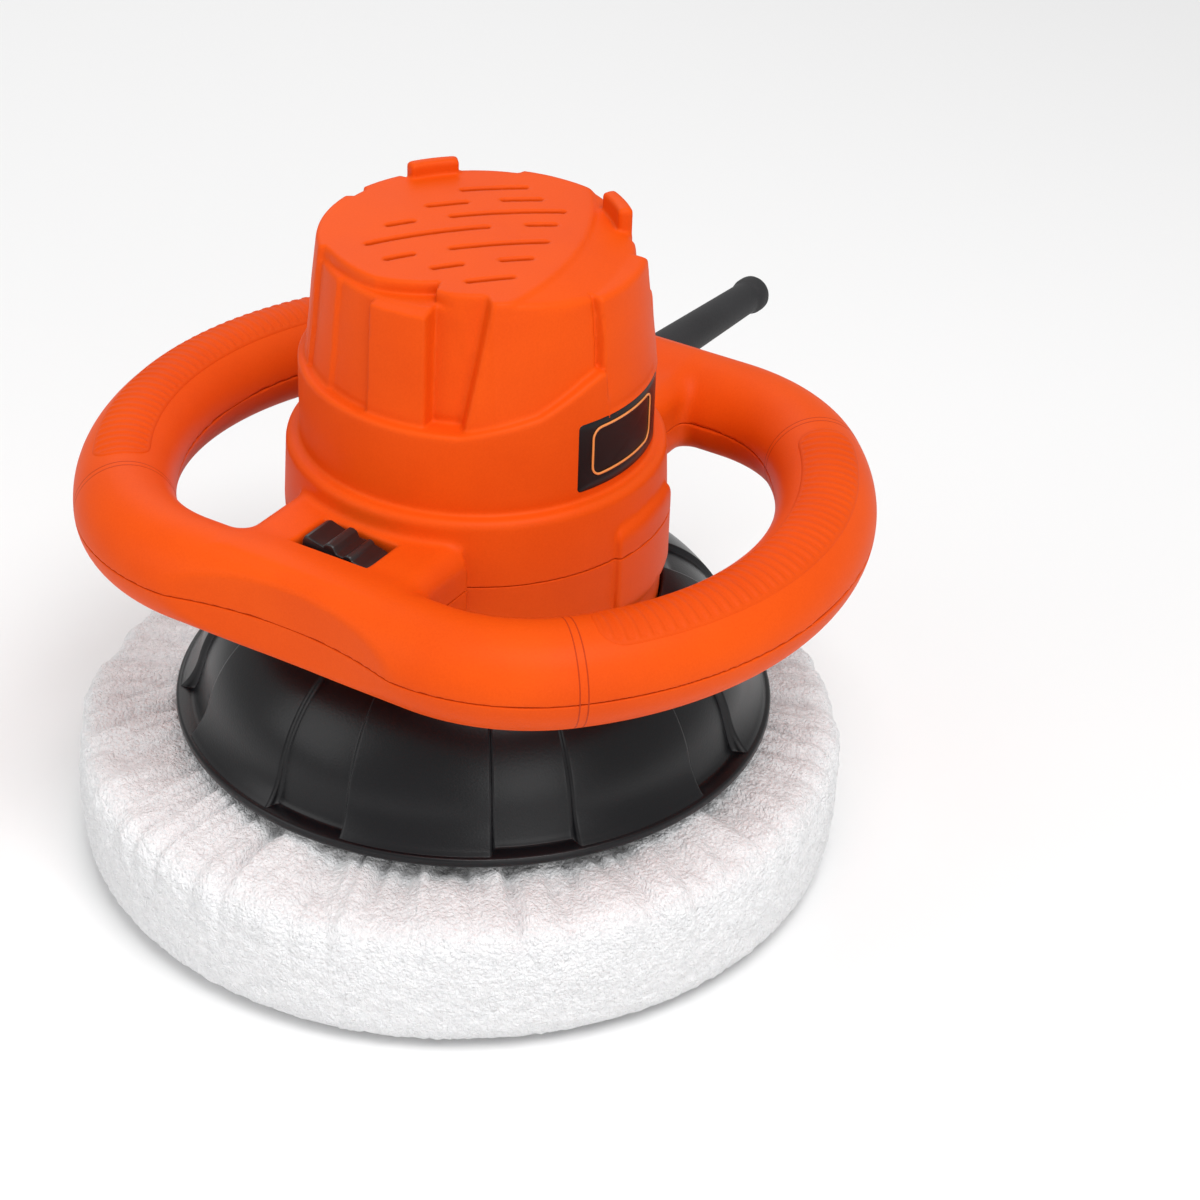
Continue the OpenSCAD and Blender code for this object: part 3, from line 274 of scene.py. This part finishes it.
def housing(x, y, z):
    ax, ay = np.abs(x), np.abs(y)
    r = np.hypot(x, y)
    th = np.degrees(np.arctan2(x, -y))
    phi = np.degrees(np.arctan2(ay, ax - SIDE_X))
    d = np.where(ax < CORNER_X, ay - FRONT_Y, np.where(phi < SIDE_ARC, np.hypot(ax - SIDE_X, y) - SIDE_R,
            np.hypot(ax - CORNER_X, ay - CORNER_Y) - CORNER_R))
    ring = np.hypot(d, z - RING_Z) - RING_R
    ring = sx(ring, 123 - np.hypot(x, y + 217), 1.0)                      # thumb scoop
    bridge = np.maximum(rbox(ax - 30, np.abs(z - 121.85) - 12.65, 6.5),
            np.abs(ay - 68) - 18)
    # body, shoulder and collar
    body = sx(r - np.interp(z, [86.7, 121.2, 138.5], [55.4, 56.7, 55.9]), z - 141.5, 3.0)
    side = np.abs(np.abs(th) - 95.7)
    boss = sx(sx((side - 17.3) * (math.pi / 180) * r, r - 58.2, 1.2),
            np.abs(z - 116) - 15.6 - 0.06 * (17.3 - side), 6.0)
    body = sm(body, boss, 0.8)
    body = sx(body, 86.7 - z, 1.0)
    drum_r = np.interp(z, [158, 165, 169, 179, 189, 199, 205], [44.0, 47.3, 47.3, 46.1, 45.2, 44.0, 43.4])
    left = 29 + 8 * (z - 168) / 33
    rise = np.clip((z - 168) / 32, 0, 1)
    off = (-3.3 * span(th, 16.6, left, 1.2) + 2.0 * np.clip((th - left) / 3.6 + 0.5, 0, 1)
            * np.clip((76.6 - th) / 1.4 + 0.5, 0, 1)
           + 4.1 * span(th, 77.6, 115, 1.4) + 4.1 * span(th, 115, 128, 1.4) * np.clip((190 - z) / 5, 0.1, 1)
           + (1.4 + 1.6 * rise) * span(th, -6, 16, 1.2) * np.clip((200 - z) / 0.8, 0, 1)
           + 0.9 * span(th, -42.5, -25.6, 1.2)
           + 2.0 * (span(th, 151, 197, 1.4) + span(th + 360, 151, 197, 1.4)) + 2.0 * span(th, -89, -43, 1.4)
           + 1.7 * span(th, -116, -98, 1.4))
    wall = r - drum_r - off
    ledge = np.interp(th, [-180, 28, 53, 70, 75.5, 77.5, 78.8, 151, 175, 180],
            [168, 166.2, 170.7, 177.9, 179.6, 179.6, 166.2, 166.2, 168, 168])
    collar = sx(r - COLLAR_R, z - ledge, 1.6)
    s, c = math.sin(math.radians(106)), -math.cos(math.radians(106))
    tri = np.hypot(x + 75 * s, y + 75 * c) - 105
    edge = np.interp(th, [-52, -43, -38, -25, -10, 15.4, 16.4, 30, 37, 42],
            [60, 44, 43, 42, 41, 33.8, 38.9, 42.4, 44, 60])
    low = sx(wall, z - 200.2, 1.6)
    high = sx(sx(wall, 0.9 * (r - edge), 0.8), z - 203.3 + 0.22 * np.clip(tri, 0, 12), 1.8)
    drum = sm(low, high, 0.5)
    top = sx(sx(sx(tri, wall, 1.2), 0.9 * (r - edge), 0.8), z - 204, 1.2)
    cap = sm(sm(collar, drum, 1.2), top, 0.6)
    for a, w, rm in ((-128, 10, 42.5), (142.5, 9.5, 42.4)):
        dt = np.abs((th - a + 180) % 360 - 180)
        tab = sx(sx((dt - w) * (math.pi / 180) * r, np.abs(r - rm) - 2.0, 1.0), np.abs(z - 198) - 10.4, 1.6)
        cap = sm(cap, tab, 0.8)
    u = x * math.sin(U_DIR) - y * math.cos(U_DIR)
    v = x * math.cos(U_DIR) + y * math.sin(U_DIR)
    slots = None
    for u0, v0, v1 in SLOTS:
        across = np.abs(np.hypot(u - u0 - SLOT_R, v) - SLOT_R) - 0.95
        s = rbox(across, np.abs(v - (v0 + v1) / 2) - (v1 - v0) / 2, 0.9)
        slots = s if slots is None else np.minimum(slots, s)
    inner = np.maximum(r - np.interp(z, [86, 138.5, 140, 160, 164, 201],
            [52.6, 53.2, 49.0, 49.0, 42.5, 39.0]), np.maximum(z - 198.4, 89.7 - z))
    shell = sm(body, cap, 1.0)
    f = sm(sm(sm(ring, bridge, 4.5), shell, 2.5), shell, 0.5)
    f = sx(f, -np.maximum(slots, 190 - z), 0.5)
    f = np.maximum(f, -inner)
    f = np.maximum(f, -np.maximum(r - 14, z - 95))
    well = np.maximum(np.maximum(ax - 12.5, np.abs(y + 66) - 7.5), 127.9 - z)
    return sx(f, -well, 1.0)

def axis_points(pieces):
    out = [pieces[0][0]]
    for a, b, s in pieces:
        n = max(1, int(round((b - a) / s)))
        out += list(a + (b - a) * (np.arange(n) + 1) / n)
    return np.array(out)

def draw_out(name, field, X, Y, Z, cut, mat, body, slot, *nodes):
    F = field(X[:, None, None], Y[None, :, None], Z[None, None, :]).astype(np.float32)
    F = np.maximum(F, cut(Z[None, None, :]).astype(np.float32))
    F[np.abs(F) < 1e-5] = 1e-5
    S = F < 0
    nx, ny, nz = F.shape
    cnt = np.zeros((nx - 1, ny - 1, nz - 1), np.int8)
    for a in (0, 1):
        for b in (0, 1):
            for c in (0, 1):
                cnt += S[a:nx - 1 + a, b:ny - 1 + b, c:nz - 1 + c]
    act = (cnt > 0) & (cnt < 8)
    idx = np.full(act.shape, -1, np.int64)
    I, J, K = np.nonzero(act)
    idx[I, J, K] = np.arange(len(I))
    P = np.zeros((len(I), 3))
    W = np.zeros(len(I))
    ax = (X, Y, Z)
    for d in range(3):
        e = [0, 0, 0]
        e[d] = 1
        o = [q for q in range(3) if q != d]
        for p in (0, 1):
            for q in (0, 1):
                s = [0, 0, 0]
                s[o[0]] = p
                s[o[1]] = q
                i0 = (I + s[0], J + s[1], K + s[2])
                i1 = (i0[0] + e[0], i0[1] + e[1], i0[2] + e[2])
                f0, f1 = F[i0].astype(float), F[i1].astype(float)
                m = (f0 < 0) != (f1 < 0)
                t = np.where(m, f0 / np.where(m, f0 - f1, 1), 0)
                pos = np.stack([ax[k][i0[k]] for k in range(3)], 1)
                pos[:, d] += t * (ax[d][i1[d]] - ax[d][i0[d]])
                P[m] += pos[m]
                W[m] += 1
    P /= W[:, None]
    def g(p):
        return np.maximum(field(p[:, 0], p[:, 1], p[:, 2]), cut(p[:, 2]))
    for _ in range(2):
        f0 = g(P)
        h = 0.05
        G = np.zeros_like(P)
        for d in range(3):
            q = P.copy()
            q[:, d] += h
            w = P.copy()
            w[:, d] -= h
            G[:, d] = (g(q) - g(w)) / (2 * h)
        step = -(f0 / np.maximum((G ** 2).sum(1), 0.3))[:, None] * G
        ln = np.linalg.norm(step, axis=1, keepdims=True)
        P += step * np.minimum(1, 0.3 / np.maximum(ln, 1e-9))
    quads = []
    for d in range(3):
        a = [slice(None)] * 3
        b = [slice(None)] * 3
        a[d], b[d] = slice(0, -1), slice(1, None)
        ch = S[tuple(a)] != S[tuple(b)]
        o = [q for q in range(3) if q != d]
        E = np.stack(np.nonzero(ch), 1)
        ok = (E[:, o[0]] > 0) & (E[:, o[1]] > 0) & (E[:, o[0]] < F.shape[o[0]]
                - 1) & (E[:, o[1]] < F.shape[o[1]] - 1)
        E = E[ok]
        def cell(p, q):
            c = E.copy()
            c[:, o[0]] -= p
            c[:, o[1]] -= q
            return idx[c[:, 0], c[:, 1], c[:, 2]]
        Q = np.stack([cell(1, 1), cell(0, 1), cell(0, 0), cell(1, 0)], 1)
        inside = S[E[:, 0], E[:, 1], E[:, 2]]
        flip = inside if d != 1 else ~inside
        Q[~flip] = Q[~flip][:, ::-1]
        quads.append(Q)
    return piece(name, P, np.concatenate(quads), mat, body, slot, *nodes)

GX = axis_points([(-121, -62, 1.3), (-62, 62, 0.8), (62, 121, 1.3)])
GY = axis_points([(-102, 62, 0.8), (62, 102, 1.3)])
ZU = axis_points([(SEAM - 0.4, SEAM + 0.5, 0.15), (SEAM + 0.5, SEAM + 2, 0.5), (SEAM + 2, 138, 1.0),
        (138, 165, 0.85), (165, 209.6, 0.65)])
ZL = axis_points([(85.5, 105, 1.2), (105, SEAM - 2, 1.0), (SEAM - 2, SEAM - 0.5, 0.5),
        (SEAM - 0.5, SEAM + 0.4, 0.15)])
draw_out("housing_upper", housing, GX, GY, ZU, lambda z: SEAM + 0.17 - z, ORANGE, "machine",
        "orange_plastic", "upper_housing")
draw_out("housing_lower", housing, GX, GY, ZL, lambda z: z - SEAM + 0.17, ORANGE, "machine",
        "orange_plastic", "lower_housing")

# ---- ribbed grips on the ring's two sides, and the joint lines beside them as darker strips of painted groove shade ---
def on_ring(side, phi, al, rho):
    """point on the side arc of the ring: phi along the arc, al round the tube from outward"""
    cx = (SIDE_X + SIDE_R * np.cos(phi))
    cy = SIDE_R * np.sin(phi)
    k = rho * np.cos(al)
    return np.stack([side * (cx + k * np.cos(phi)), cy + k * np.sin(phi), RING_Z + rho * np.sin(al)], -1)

def sheet_solid(A, B):
    """closed solid between two grids of the same shape"""
    n, m = A.shape[:2]
    V = np.concatenate([A.reshape(-1, 3), B.reshape(-1, 3)])
    k = n * m
    i, j = np.meshgrid(np.arange(n - 1), np.arange(m - 1), indexing="ij")
    q = np.stack([i * m + j, (i + 1) * m + j, (i + 1) * m + j + 1, i * m + j + 1], -1).reshape(-1, 4)
    rim = [(0, b) for b in range(m)] + [(a, m - 1) for a in range(1, n)] + [(n - 1, b) for b in range(m - 2,
            -1, -1)] + [(a, 0) for a in range(n - 2, 0, -1)]
    rim = np.array([a * m + b for a, b in rim])
    nxt = np.roll(rim, -1)
    F = np.concatenate([q, q[:, ::-1] + k, np.stack([nxt, rim, rim + k, nxt + k], 1)])
    return V, F

for side, nm in ((1, "grip_right"), (-1, "grip_left")):
    ph = np.radians(np.linspace(-41.5, 41.5, 420))
    al = np.radians(np.linspace(50, 126, 44))
    PH, AL = np.meshgrid(ph, al, indexing="ij")
    s, t = PH * SIDE_R, (AL - math.radians(88)) * RING_R
    edge = rbox(np.abs(s) - 70.8, np.abs(t) - 9.3,
            7.0)                      # rounded outline, negative inside
    rib = np.clip(np.cos(s * 2 * math.pi / 3.4) * 1.6 + 0.1, 0, 1)
    inside = np.clip(-(edge + 1.5) / 0.5, 0, 1)
    hgt = -0.35 + 0.6 * np.clip(-edge / 0.45, 0, 1) - 0.16 * inside + 0.36 * rib * inside
    V, F = sheet_solid(on_ring(side, PH, AL, RING_R + hgt), on_ring(side, PH, AL, RING_R - 0.8 + 0 * hgt))
    if side > 0:
        F = F[:, ::-1]
    piece(nm, V, F, GRIP, "machine", "orange_plastic")

def ring_line(side, end, deg, w, out):
    al = np.linspace(0, 2 * math.pi, 72, endpoint=False)
    k = np.array([[-w, -0.4], [w, -0.4], [w, out], [-w, out]])
    AL, K = np.meshgrid(al, np.arange(4), indexing="ij")
    PH = end * (math.radians(deg) + k[K, 0] / SIDE_R)
    V, F = torus_grid(on_ring(side, PH, AL, RING_R + k[K, 1]))
    if side * end < 0:
        F = F[:, ::-1]
    return V, F
# thin darker strips at the ring's four joints: painted shade of the grooves, not a separate dark part
for q, (side, end) in enumerate(((1, 1), (1, -1), (-1, 1), (-1, -1))):
    parts = [ring_line(side, end, dg, 0.17, 0.03) for dg in (43.3, 44.5)]
    V = np.concatenate([p[0] for p in parts])
    F = np.concatenate([parts[0][1], parts[1][1] + len(parts[0][0])])
    piece(f"ring_joint_shade_{q + 1}", V, F, LINE, "machine", "orange_plastic")

# ---- label plate: blank, with a thin outline -----------------------------------------------
def rounded_loop(w, h, r, n=10):
    pts = []
    for cx, cy, a0 in ((w - r, h - r, 0), (r - w, h - r, 90), (r - w, r - h, 180), (w - r, r - h, 270)):
        pts += [(cx + r * math.cos(math.radians(a0 + 90 * i / n)),
                cy + r * math.sin(math.radians(a0 + 90 * i / n))) for i in range(n + 1)]
    out = []
    for a, b in zip(pts, pts[1:] + pts[:1]):
        k = max(1, int(math.hypot(b[0] - a[0], b[1] - a[1]) / 1.2))
        out += [(a[0] + (b[0] - a[0]) * i / k, a[1] + (b[1] - a[1]) * i / k) for i in range(k)]
    return np.array(out)

def wrap(s, z, r, mid=90.0, r0=COLLAR_R):
    th = math.radians(mid) + s / r0
    return np.stack([r * np.sin(th), -r * np.cos(th), z + 0 * s], -1)

def curved_plate(w, h, rc, mid, zc, r_in, r_out, rim=0.5):
    loop = rounded_loop(w, h, rc)
    scales = [(0.25, r_out), (0.5, r_out), (0.75, r_out), (1 - rim / h, r_out),
            (1.0, r_out - rim * 0.6), (1.0, r_in)]
    rows = []
    for k, r in scales:
        rows.append(wrap(loop[:, 0] * k, zc + loop[:, 1] * k, r, mid))
    V = np.concatenate(rows)
    m = len(loop)
    F = []
    i = np.arange(m)
    j = (i + 1) % m
    for a in range(len(rows) - 1):
        F.append(np.stack([a * m + i, (a + 1) * m + i, (a + 1) * m + j, a * m + j], 1))
    F = [tuple(f) for f in np.concatenate(F)]
    c0 = len(V)
    V = np.concatenate([V, wrap(np.array([0.0]), np.array([zc]), r_out, mid),
            wrap(np.array([0.0]), np.array([zc]), r_in, mid)])
    F += [(c0, a, b) for a, b in zip(i, j)]
    a = (len(rows) - 1) * m
    F += [(c0 + 1, a + q, a + p) for p, q in zip(i, j)]
    return V, F

V, F = curved_plate(21.3, 10.7, 1.3, 90.0, 155.2, 50.4, 52.1, 0.2)
piece("label_blank", V, F, MATS["label_plate"], "machine", "label_plate", "side_label")
loop = rounded_loop(14.6, 7.5, 3.2)
nrm = np.roll(loop, -1, 0) - np.roll(loop, 1, 0)
nrm = np.stack([nrm[:, 1], -nrm[:, 0]], 1) / np.linalg.norm(nrm, axis=1, keepdims=True)
P = np.stack([wrap(loop[:, 0] + w * nrm[:, 0], 156.0 + loop[:, 1] + w * nrm[:, 1], r, 88.0) for w,
        r in ((-0.32, 52.1), (-0.32, 52.42), (0.32, 52.42), (0.32, 52.1))], 1)
V, F = torus_grid(P)
OUTLINE = material("outline_orange", (0.78, 0.24, 0.05), (0.88, 0.32, 0.08), (0.35, 0.45))
piece("label_outline", V, F, OUTLINE, "machine", "label_plate")

# ---- skirt ------------------------------------------------------------------------
ARC_R, ARC_Z, SKIRT_OUT, SKIRT_IN = 44.4, 52.1, 41.6, 39.0
prof = [(56.4, 91.3), (56.9, 91.8)] + arc(ARC_R, ARC_Z, SKIRT_OUT, 18.2, 88.5, 46) + [
    (86.2, 52.25), (86.6, 52.05), (88.5, 52.0), (91.1, 52.0), (91.7, 51.8), (92.0, 51.2),
    (92.0, 50.5), (92.0, 49.8), (91.7, 49.2), (91.1, 49.0), (88, 49.0), (84.6, 49.0)
] + arc(ARC_R, ARC_Z, SKIRT_IN, 90, 30, 16) + [
    (57.5, 84.6), (55.6, 83.7), (50.5, 83.7), (45.5, 83.7), (45.5, 86.6), (50.5, 86.6),
    (55.7, 86.6), (56.2, 88.5)]
pr = np.array(prof)
ang = np.degrees(np.arctan2(pr[:, 0] - ARC_R, pr[:, 1] - ARC_Z))
n_out = 48
def skirt_shape(T, K, R, Z):
    t = (np.degrees(T) + 22.5) % 45 - 22.5
    a = ang[K]
    on = (K >= 2) & (K < n_out + 3)
    side = span(t, -8.0, 8.0, 0.7)
    q = np.clip((a - 19) / 4, 0, 1)
    dep = np.where(on, 1.9 * side * q, 0)
    dep = np.where(on & (K >= n_out), 1.9 * side, dep)
    ar = np.radians(a)
    flat = K >= n_out
    R = R + np.where(on & ~flat, 4.4 * (1 - 0.55 * side) * np.clip((63 - Z) / 11, 0, 1) ** 2.2, 0)
    R = R + np.where(flat & (K < n_out + 3), (1 - 0.55 * side) * 4.4 * np.clip((91.2 - R) / 5.2, 0, 1), 0)
    return R - dep * np.where(flat, 1, np.sin(ar)), Z - dep * np.where(flat, 0, np.cos(ar))
V, F = lathe(prof, 1080, skirt_shape)
piece("skirt_shell", V, F, MATS["dark_plastic"], "machine", "dark_plastic", "skirt")

# ---- cord guard ----------------------------------------------------------------------
droop = math.radians(3.5)
gp = [(3.5, -8), (6.6, -8), (7.1, -7.5), (7.1, -1)]
gp += [(6.5 - 1.15 * t / 72, t) for t in np.linspace(0, 67, 40)]
gp += [(5.45, 67.8), (5.7, 68.8), (6.05, 69.6), (6.25, 70.6), (6.25, 73.0), (6.1, 74.2), (5.7, 75.0),
        (5.0, 75.3), (4.2, 75.2), (3.7, 74.8), (3.5, 74.2)]
gp += [(3.5, t) for t in np.linspace(70, -4, 12)]
th = np.arange(96) * 2 * math.pi / 96
T, K = np.meshgrid(th, np.arange(len(gp)), indexing="ij")
gp = np.array(gp)
rr, tt = gp[K, 0], np.where(gp[K, 1] > 0, gp[K, 1] * 72 / 75.3, gp[K, 1]) + 8
P = np.stack([rr * np.cos(T), 92 + tt * math.cos(droop) + rr * np.sin(T) * math.sin(droop),
        SEAM - tt * math.sin(droop) + rr * np.sin(T) * math.cos(droop)], -1)
V, F = torus_grid(P)
piece("cord_sleeve", V, F, MATS["guard_rubber"], "machine", "guard_rubber", "cord_guard")

# ---- rocker ---------------------------------------------------------------------------
half, wid = 11.3, 11.5
sec = np.array([(-half, 0), (-half, 2.4), (-half + 0.5, 3.6), (-half + 1.6, 4.2), (-8, 3.9), (-4.2, 3.55),
        (-3.9, 4.2), (-3.2, 5.1), (-2.0, 5.35), (-0.8, 5.0), (-0.1, 3.9),
                (0.4, 3.35), (2.8, 3.3), (3.2, 4.0), (3.7, 4.5), (4.5, 4.65), (5.2, 4.4), (5.8, 3.6),
                (half - 3, 3.5), (half - 1.0, 3.2), (half, 2.0), (half, 0), (2.4, -1.9), (-2.4, -1.9)])
rows = []
for yy, k in ((-wid / 2, 0.93), (-wid / 2 + 0.25, 0.98), (-wid / 2 + 0.7, 1.0), (wid / 2 - 0.7, 1.0),
        (wid / 2 - 0.25, 0.98), (wid / 2, 0.93)):
    rows.append(np.stack([sec[:, 0] * k, yy + 0 * sec[:, 0], 1.2 + (sec[:, 1] - 1.2) * k], 1))
V = np.concatenate(rows)
m = len(sec)
F = [(a * m + i, a * m + (i + 1) % m, (a + 1) * m + (i + 1) % m,
        (a + 1) * m + i) for a in range(5) for i in range(m)]
F += [tuple(range(m - 1, -1, -1)), tuple(5 * m + i for i in range(m))]
a = math.radians(9)
V = np.stack([V[:, 0] * math.cos(a) + V[:, 2] * math.sin(a), V[:, 1] - 66,
        -V[:, 0] * math.sin(a) + V[:, 2] * math.cos(a) + 130.7], 1)
rk = piece("rocker_key", V, F, MATS["switch_plastic"], "rocker", "switch_plastic", "switch_rocker")
bv = rk.modifiers.new("bevel", "BEVEL")
bv.width = 0.00018
bv.segments = 2
bv.limit_method = "ANGLE"
bv.angle_limit = math.radians(35)

# ---- foam pad and terry bonnet -----------------------------------------------------------
flo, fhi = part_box("foam_pad")
blo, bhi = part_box("bonnet")
cx = (blo.x + bhi.x) / 2 / MM
fr, fz0, fz1 = (fhi.x - flo.x) / 2 / MM, flo.z / MM, fhi.z / MM
k = 5.0
fp = [(0.5, fz0 + 0.05), (fr * 0.5, fz0 + 0.05)] + [(fr - k + k * math.sin(t),
        fz0 + k - k * math.cos(t)) for t in np.linspace(0, math.pi / 2, 8)]
fp += [(fr, (fz0 + fz1) / 2)] + [(fr - 3 + 3 * math.cos(t),
        fz1 - 3 + 3 * math.sin(t)) for t in np.linspace(0, math.pi / 2, 6)] + [(fr * 0.6, fz1),
        (fr * 0.3, fz1), (0.5, fz1)]
V, F = lathe(fp[::-1], 160, centre=((flo.x + fhi.x) / 2 / MM, 0))
foam = piece("foam_disc", V, F, MATS["foam"], "pad", "foam", "foam_pad")

BONNET_R = 118.2
outer = [(0.6, 0.6)] + [(q, 0.6) for q in np.linspace(6, 104, 22)]
outer += [(BONNET_R - 10 + 10 * math.sin(t), 10.4 - 9.8 * math.cos(t))
          for t in np.linspace(0.12, math.pi / 2, 14)]
outer += [(BONNET_R + 0.5 * math.sin(math.pi * (q - 10) / 24), q) for q in np.linspace(11, 33.5, 23)]
outer += [(BONNET_R - 8.5 + 8.5 * math.cos(t), 33.8 + 8.6 * math.sin(t)) for t in np.linspace(0.1, 1.32, 13)]
outer += [(q, 42.4 + (112 - q) / 37 * 4.0) for q in np.linspace(110.5, 76, 34)]
no = len(outer)
innr = [(74.6, 46.0), (74.4, 44.8), (75.0, 43.4), (84, 42.4), (96, 41.0), (107, 39.4), (112.6, 36.5),
        (115.0, 31), (115.2, 20), (114.4, 11), (111.6, 6), (106, 3.6), (80, 3.2), (40, 3.2), (0.6, 3.2)]
prof = np.array(outer + innr)
NT = 720
V, F = lathe([tuple(p) for p in prof[::-1]], NT, centre=(cx, 0))
rows = len(prof)
V = V.reshape(NT, rows, 3)[:, ::-1].copy()
dt = np.roll(V, -1, 0) - np.roll(V, 1, 0)
ds = np.roll(V, -1, 1) - np.roll(V, 1, 1)
Nrm = np.cross(ds, dt)
Nrm /= np.maximum(np.linalg.norm(Nrm, axis=2, keepdims=True), 1e-9)
if Nrm[0, 50, 1] > 0:
    Nrm = -Nrm
disp = np.zeros((NT, rows))
for i in range(NT):
    t = 2 * math.pi * i / NT
    st, ct = math.sin(t), math.cos(t)
    s1 = noise.noise(Vector((st * 3.2, ct * 3.2, 1.3)))
    for j in range(no):
        x, y, z = V[i, j]
        r = prof[j, 0]
        if z < 1.2:
            continue
        loops = noise.noise(Vector((x / 1.7, y / 1.7, z / 1.7))) * 0.55 + noise.noise(Vector((x / 4.3,
                y / 4.3, z / 4.3 + 9))) * 0.32
        gather = 0.0
        if z > 26:
            w = min(1.0, (z - 26) / 16)
            q = (112 - r) / 30 if z > 42 else 0.0
            g1 = min(1.0, 2.6 * abs(noise.noise(Vector((st * 8.5, ct * 8.5, 3.1 + r * 0.015)))))
            g2 = min(1.0, 2.6 * abs(noise.noise(Vector((st * 19, ct * 19, 7.7 + r * 0.02)))))
            gather = w * (3.4 * (g1 - 0.66) + (0.9 + 1.6 * q) * (g2 - 0.62)) * (1 + 0.5 * q)
        disp[i, j] = loops * (1.0 if z > 2 else 0.3) + gather + 0.8 * s1 * min(1, z / 20)
V += Nrm * disp[..., None]
V[..., 2] = np.clip(V[..., 2], 0.02, 48.3)
V = V[:, ::-1].reshape(-1, 3)
bonnet = piece("terry_bonnet", V, F, MATS["terry"], "pad", "terry", "bonnet")

# ---- floor, light --------------------------------------------------------------------------
bpy.ops.mesh.primitive_plane_add(size=8, location=(0, 0, -0.0003))
floor = bpy.context.object
floor.name = "floor"
fm = bpy.data.materials.new("floor_pale")
fm.use_nodes = True
fm.node_tree.nodes["Principled BSDF"].inputs["Base Color"].default_value = (0.86, 0.86, 0.86, 1)
fm.node_tree.nodes["Principled BSDF"].inputs["Roughness"].default_value = 0.7
floor.data.materials.append(fm)
world = bpy.data.worlds.new("studio")
scene.world = world
world.use_nodes = True
world.node_tree.nodes["Background"].inputs["Color"].default_value = (1, 1, 1, 1)
world.node_tree.nodes["Background"].inputs["Strength"].default_value = 0.56

def lamp(name, at, size, power):
    l = bpy.data.lights.new(name, "AREA")
    l.shape = "SQUARE"
    l.size = size
    l.energy = power
    o = bpy.data.objects.new(name, l)
    scene.collection.objects.link(o)
    o.location = at
    o.rotation_euler = (Vector((0, 0, 0.1)) - Vector(at)).to_track_quat("-Z", "Y").to_euler()
lamp("key", (0.55, -0.35, 1.45), 0.8, 15)
lamp("fill", (1.2, -0.9, 0.5), 0.8, 4)
lamp("low", (-0.8, -1.1, 0.7), 0.9, 4)
lamp("back", (-0.9, 0.8, 1.0), 0.8, 3)
scene.view_settings.view_transform = "Standard"
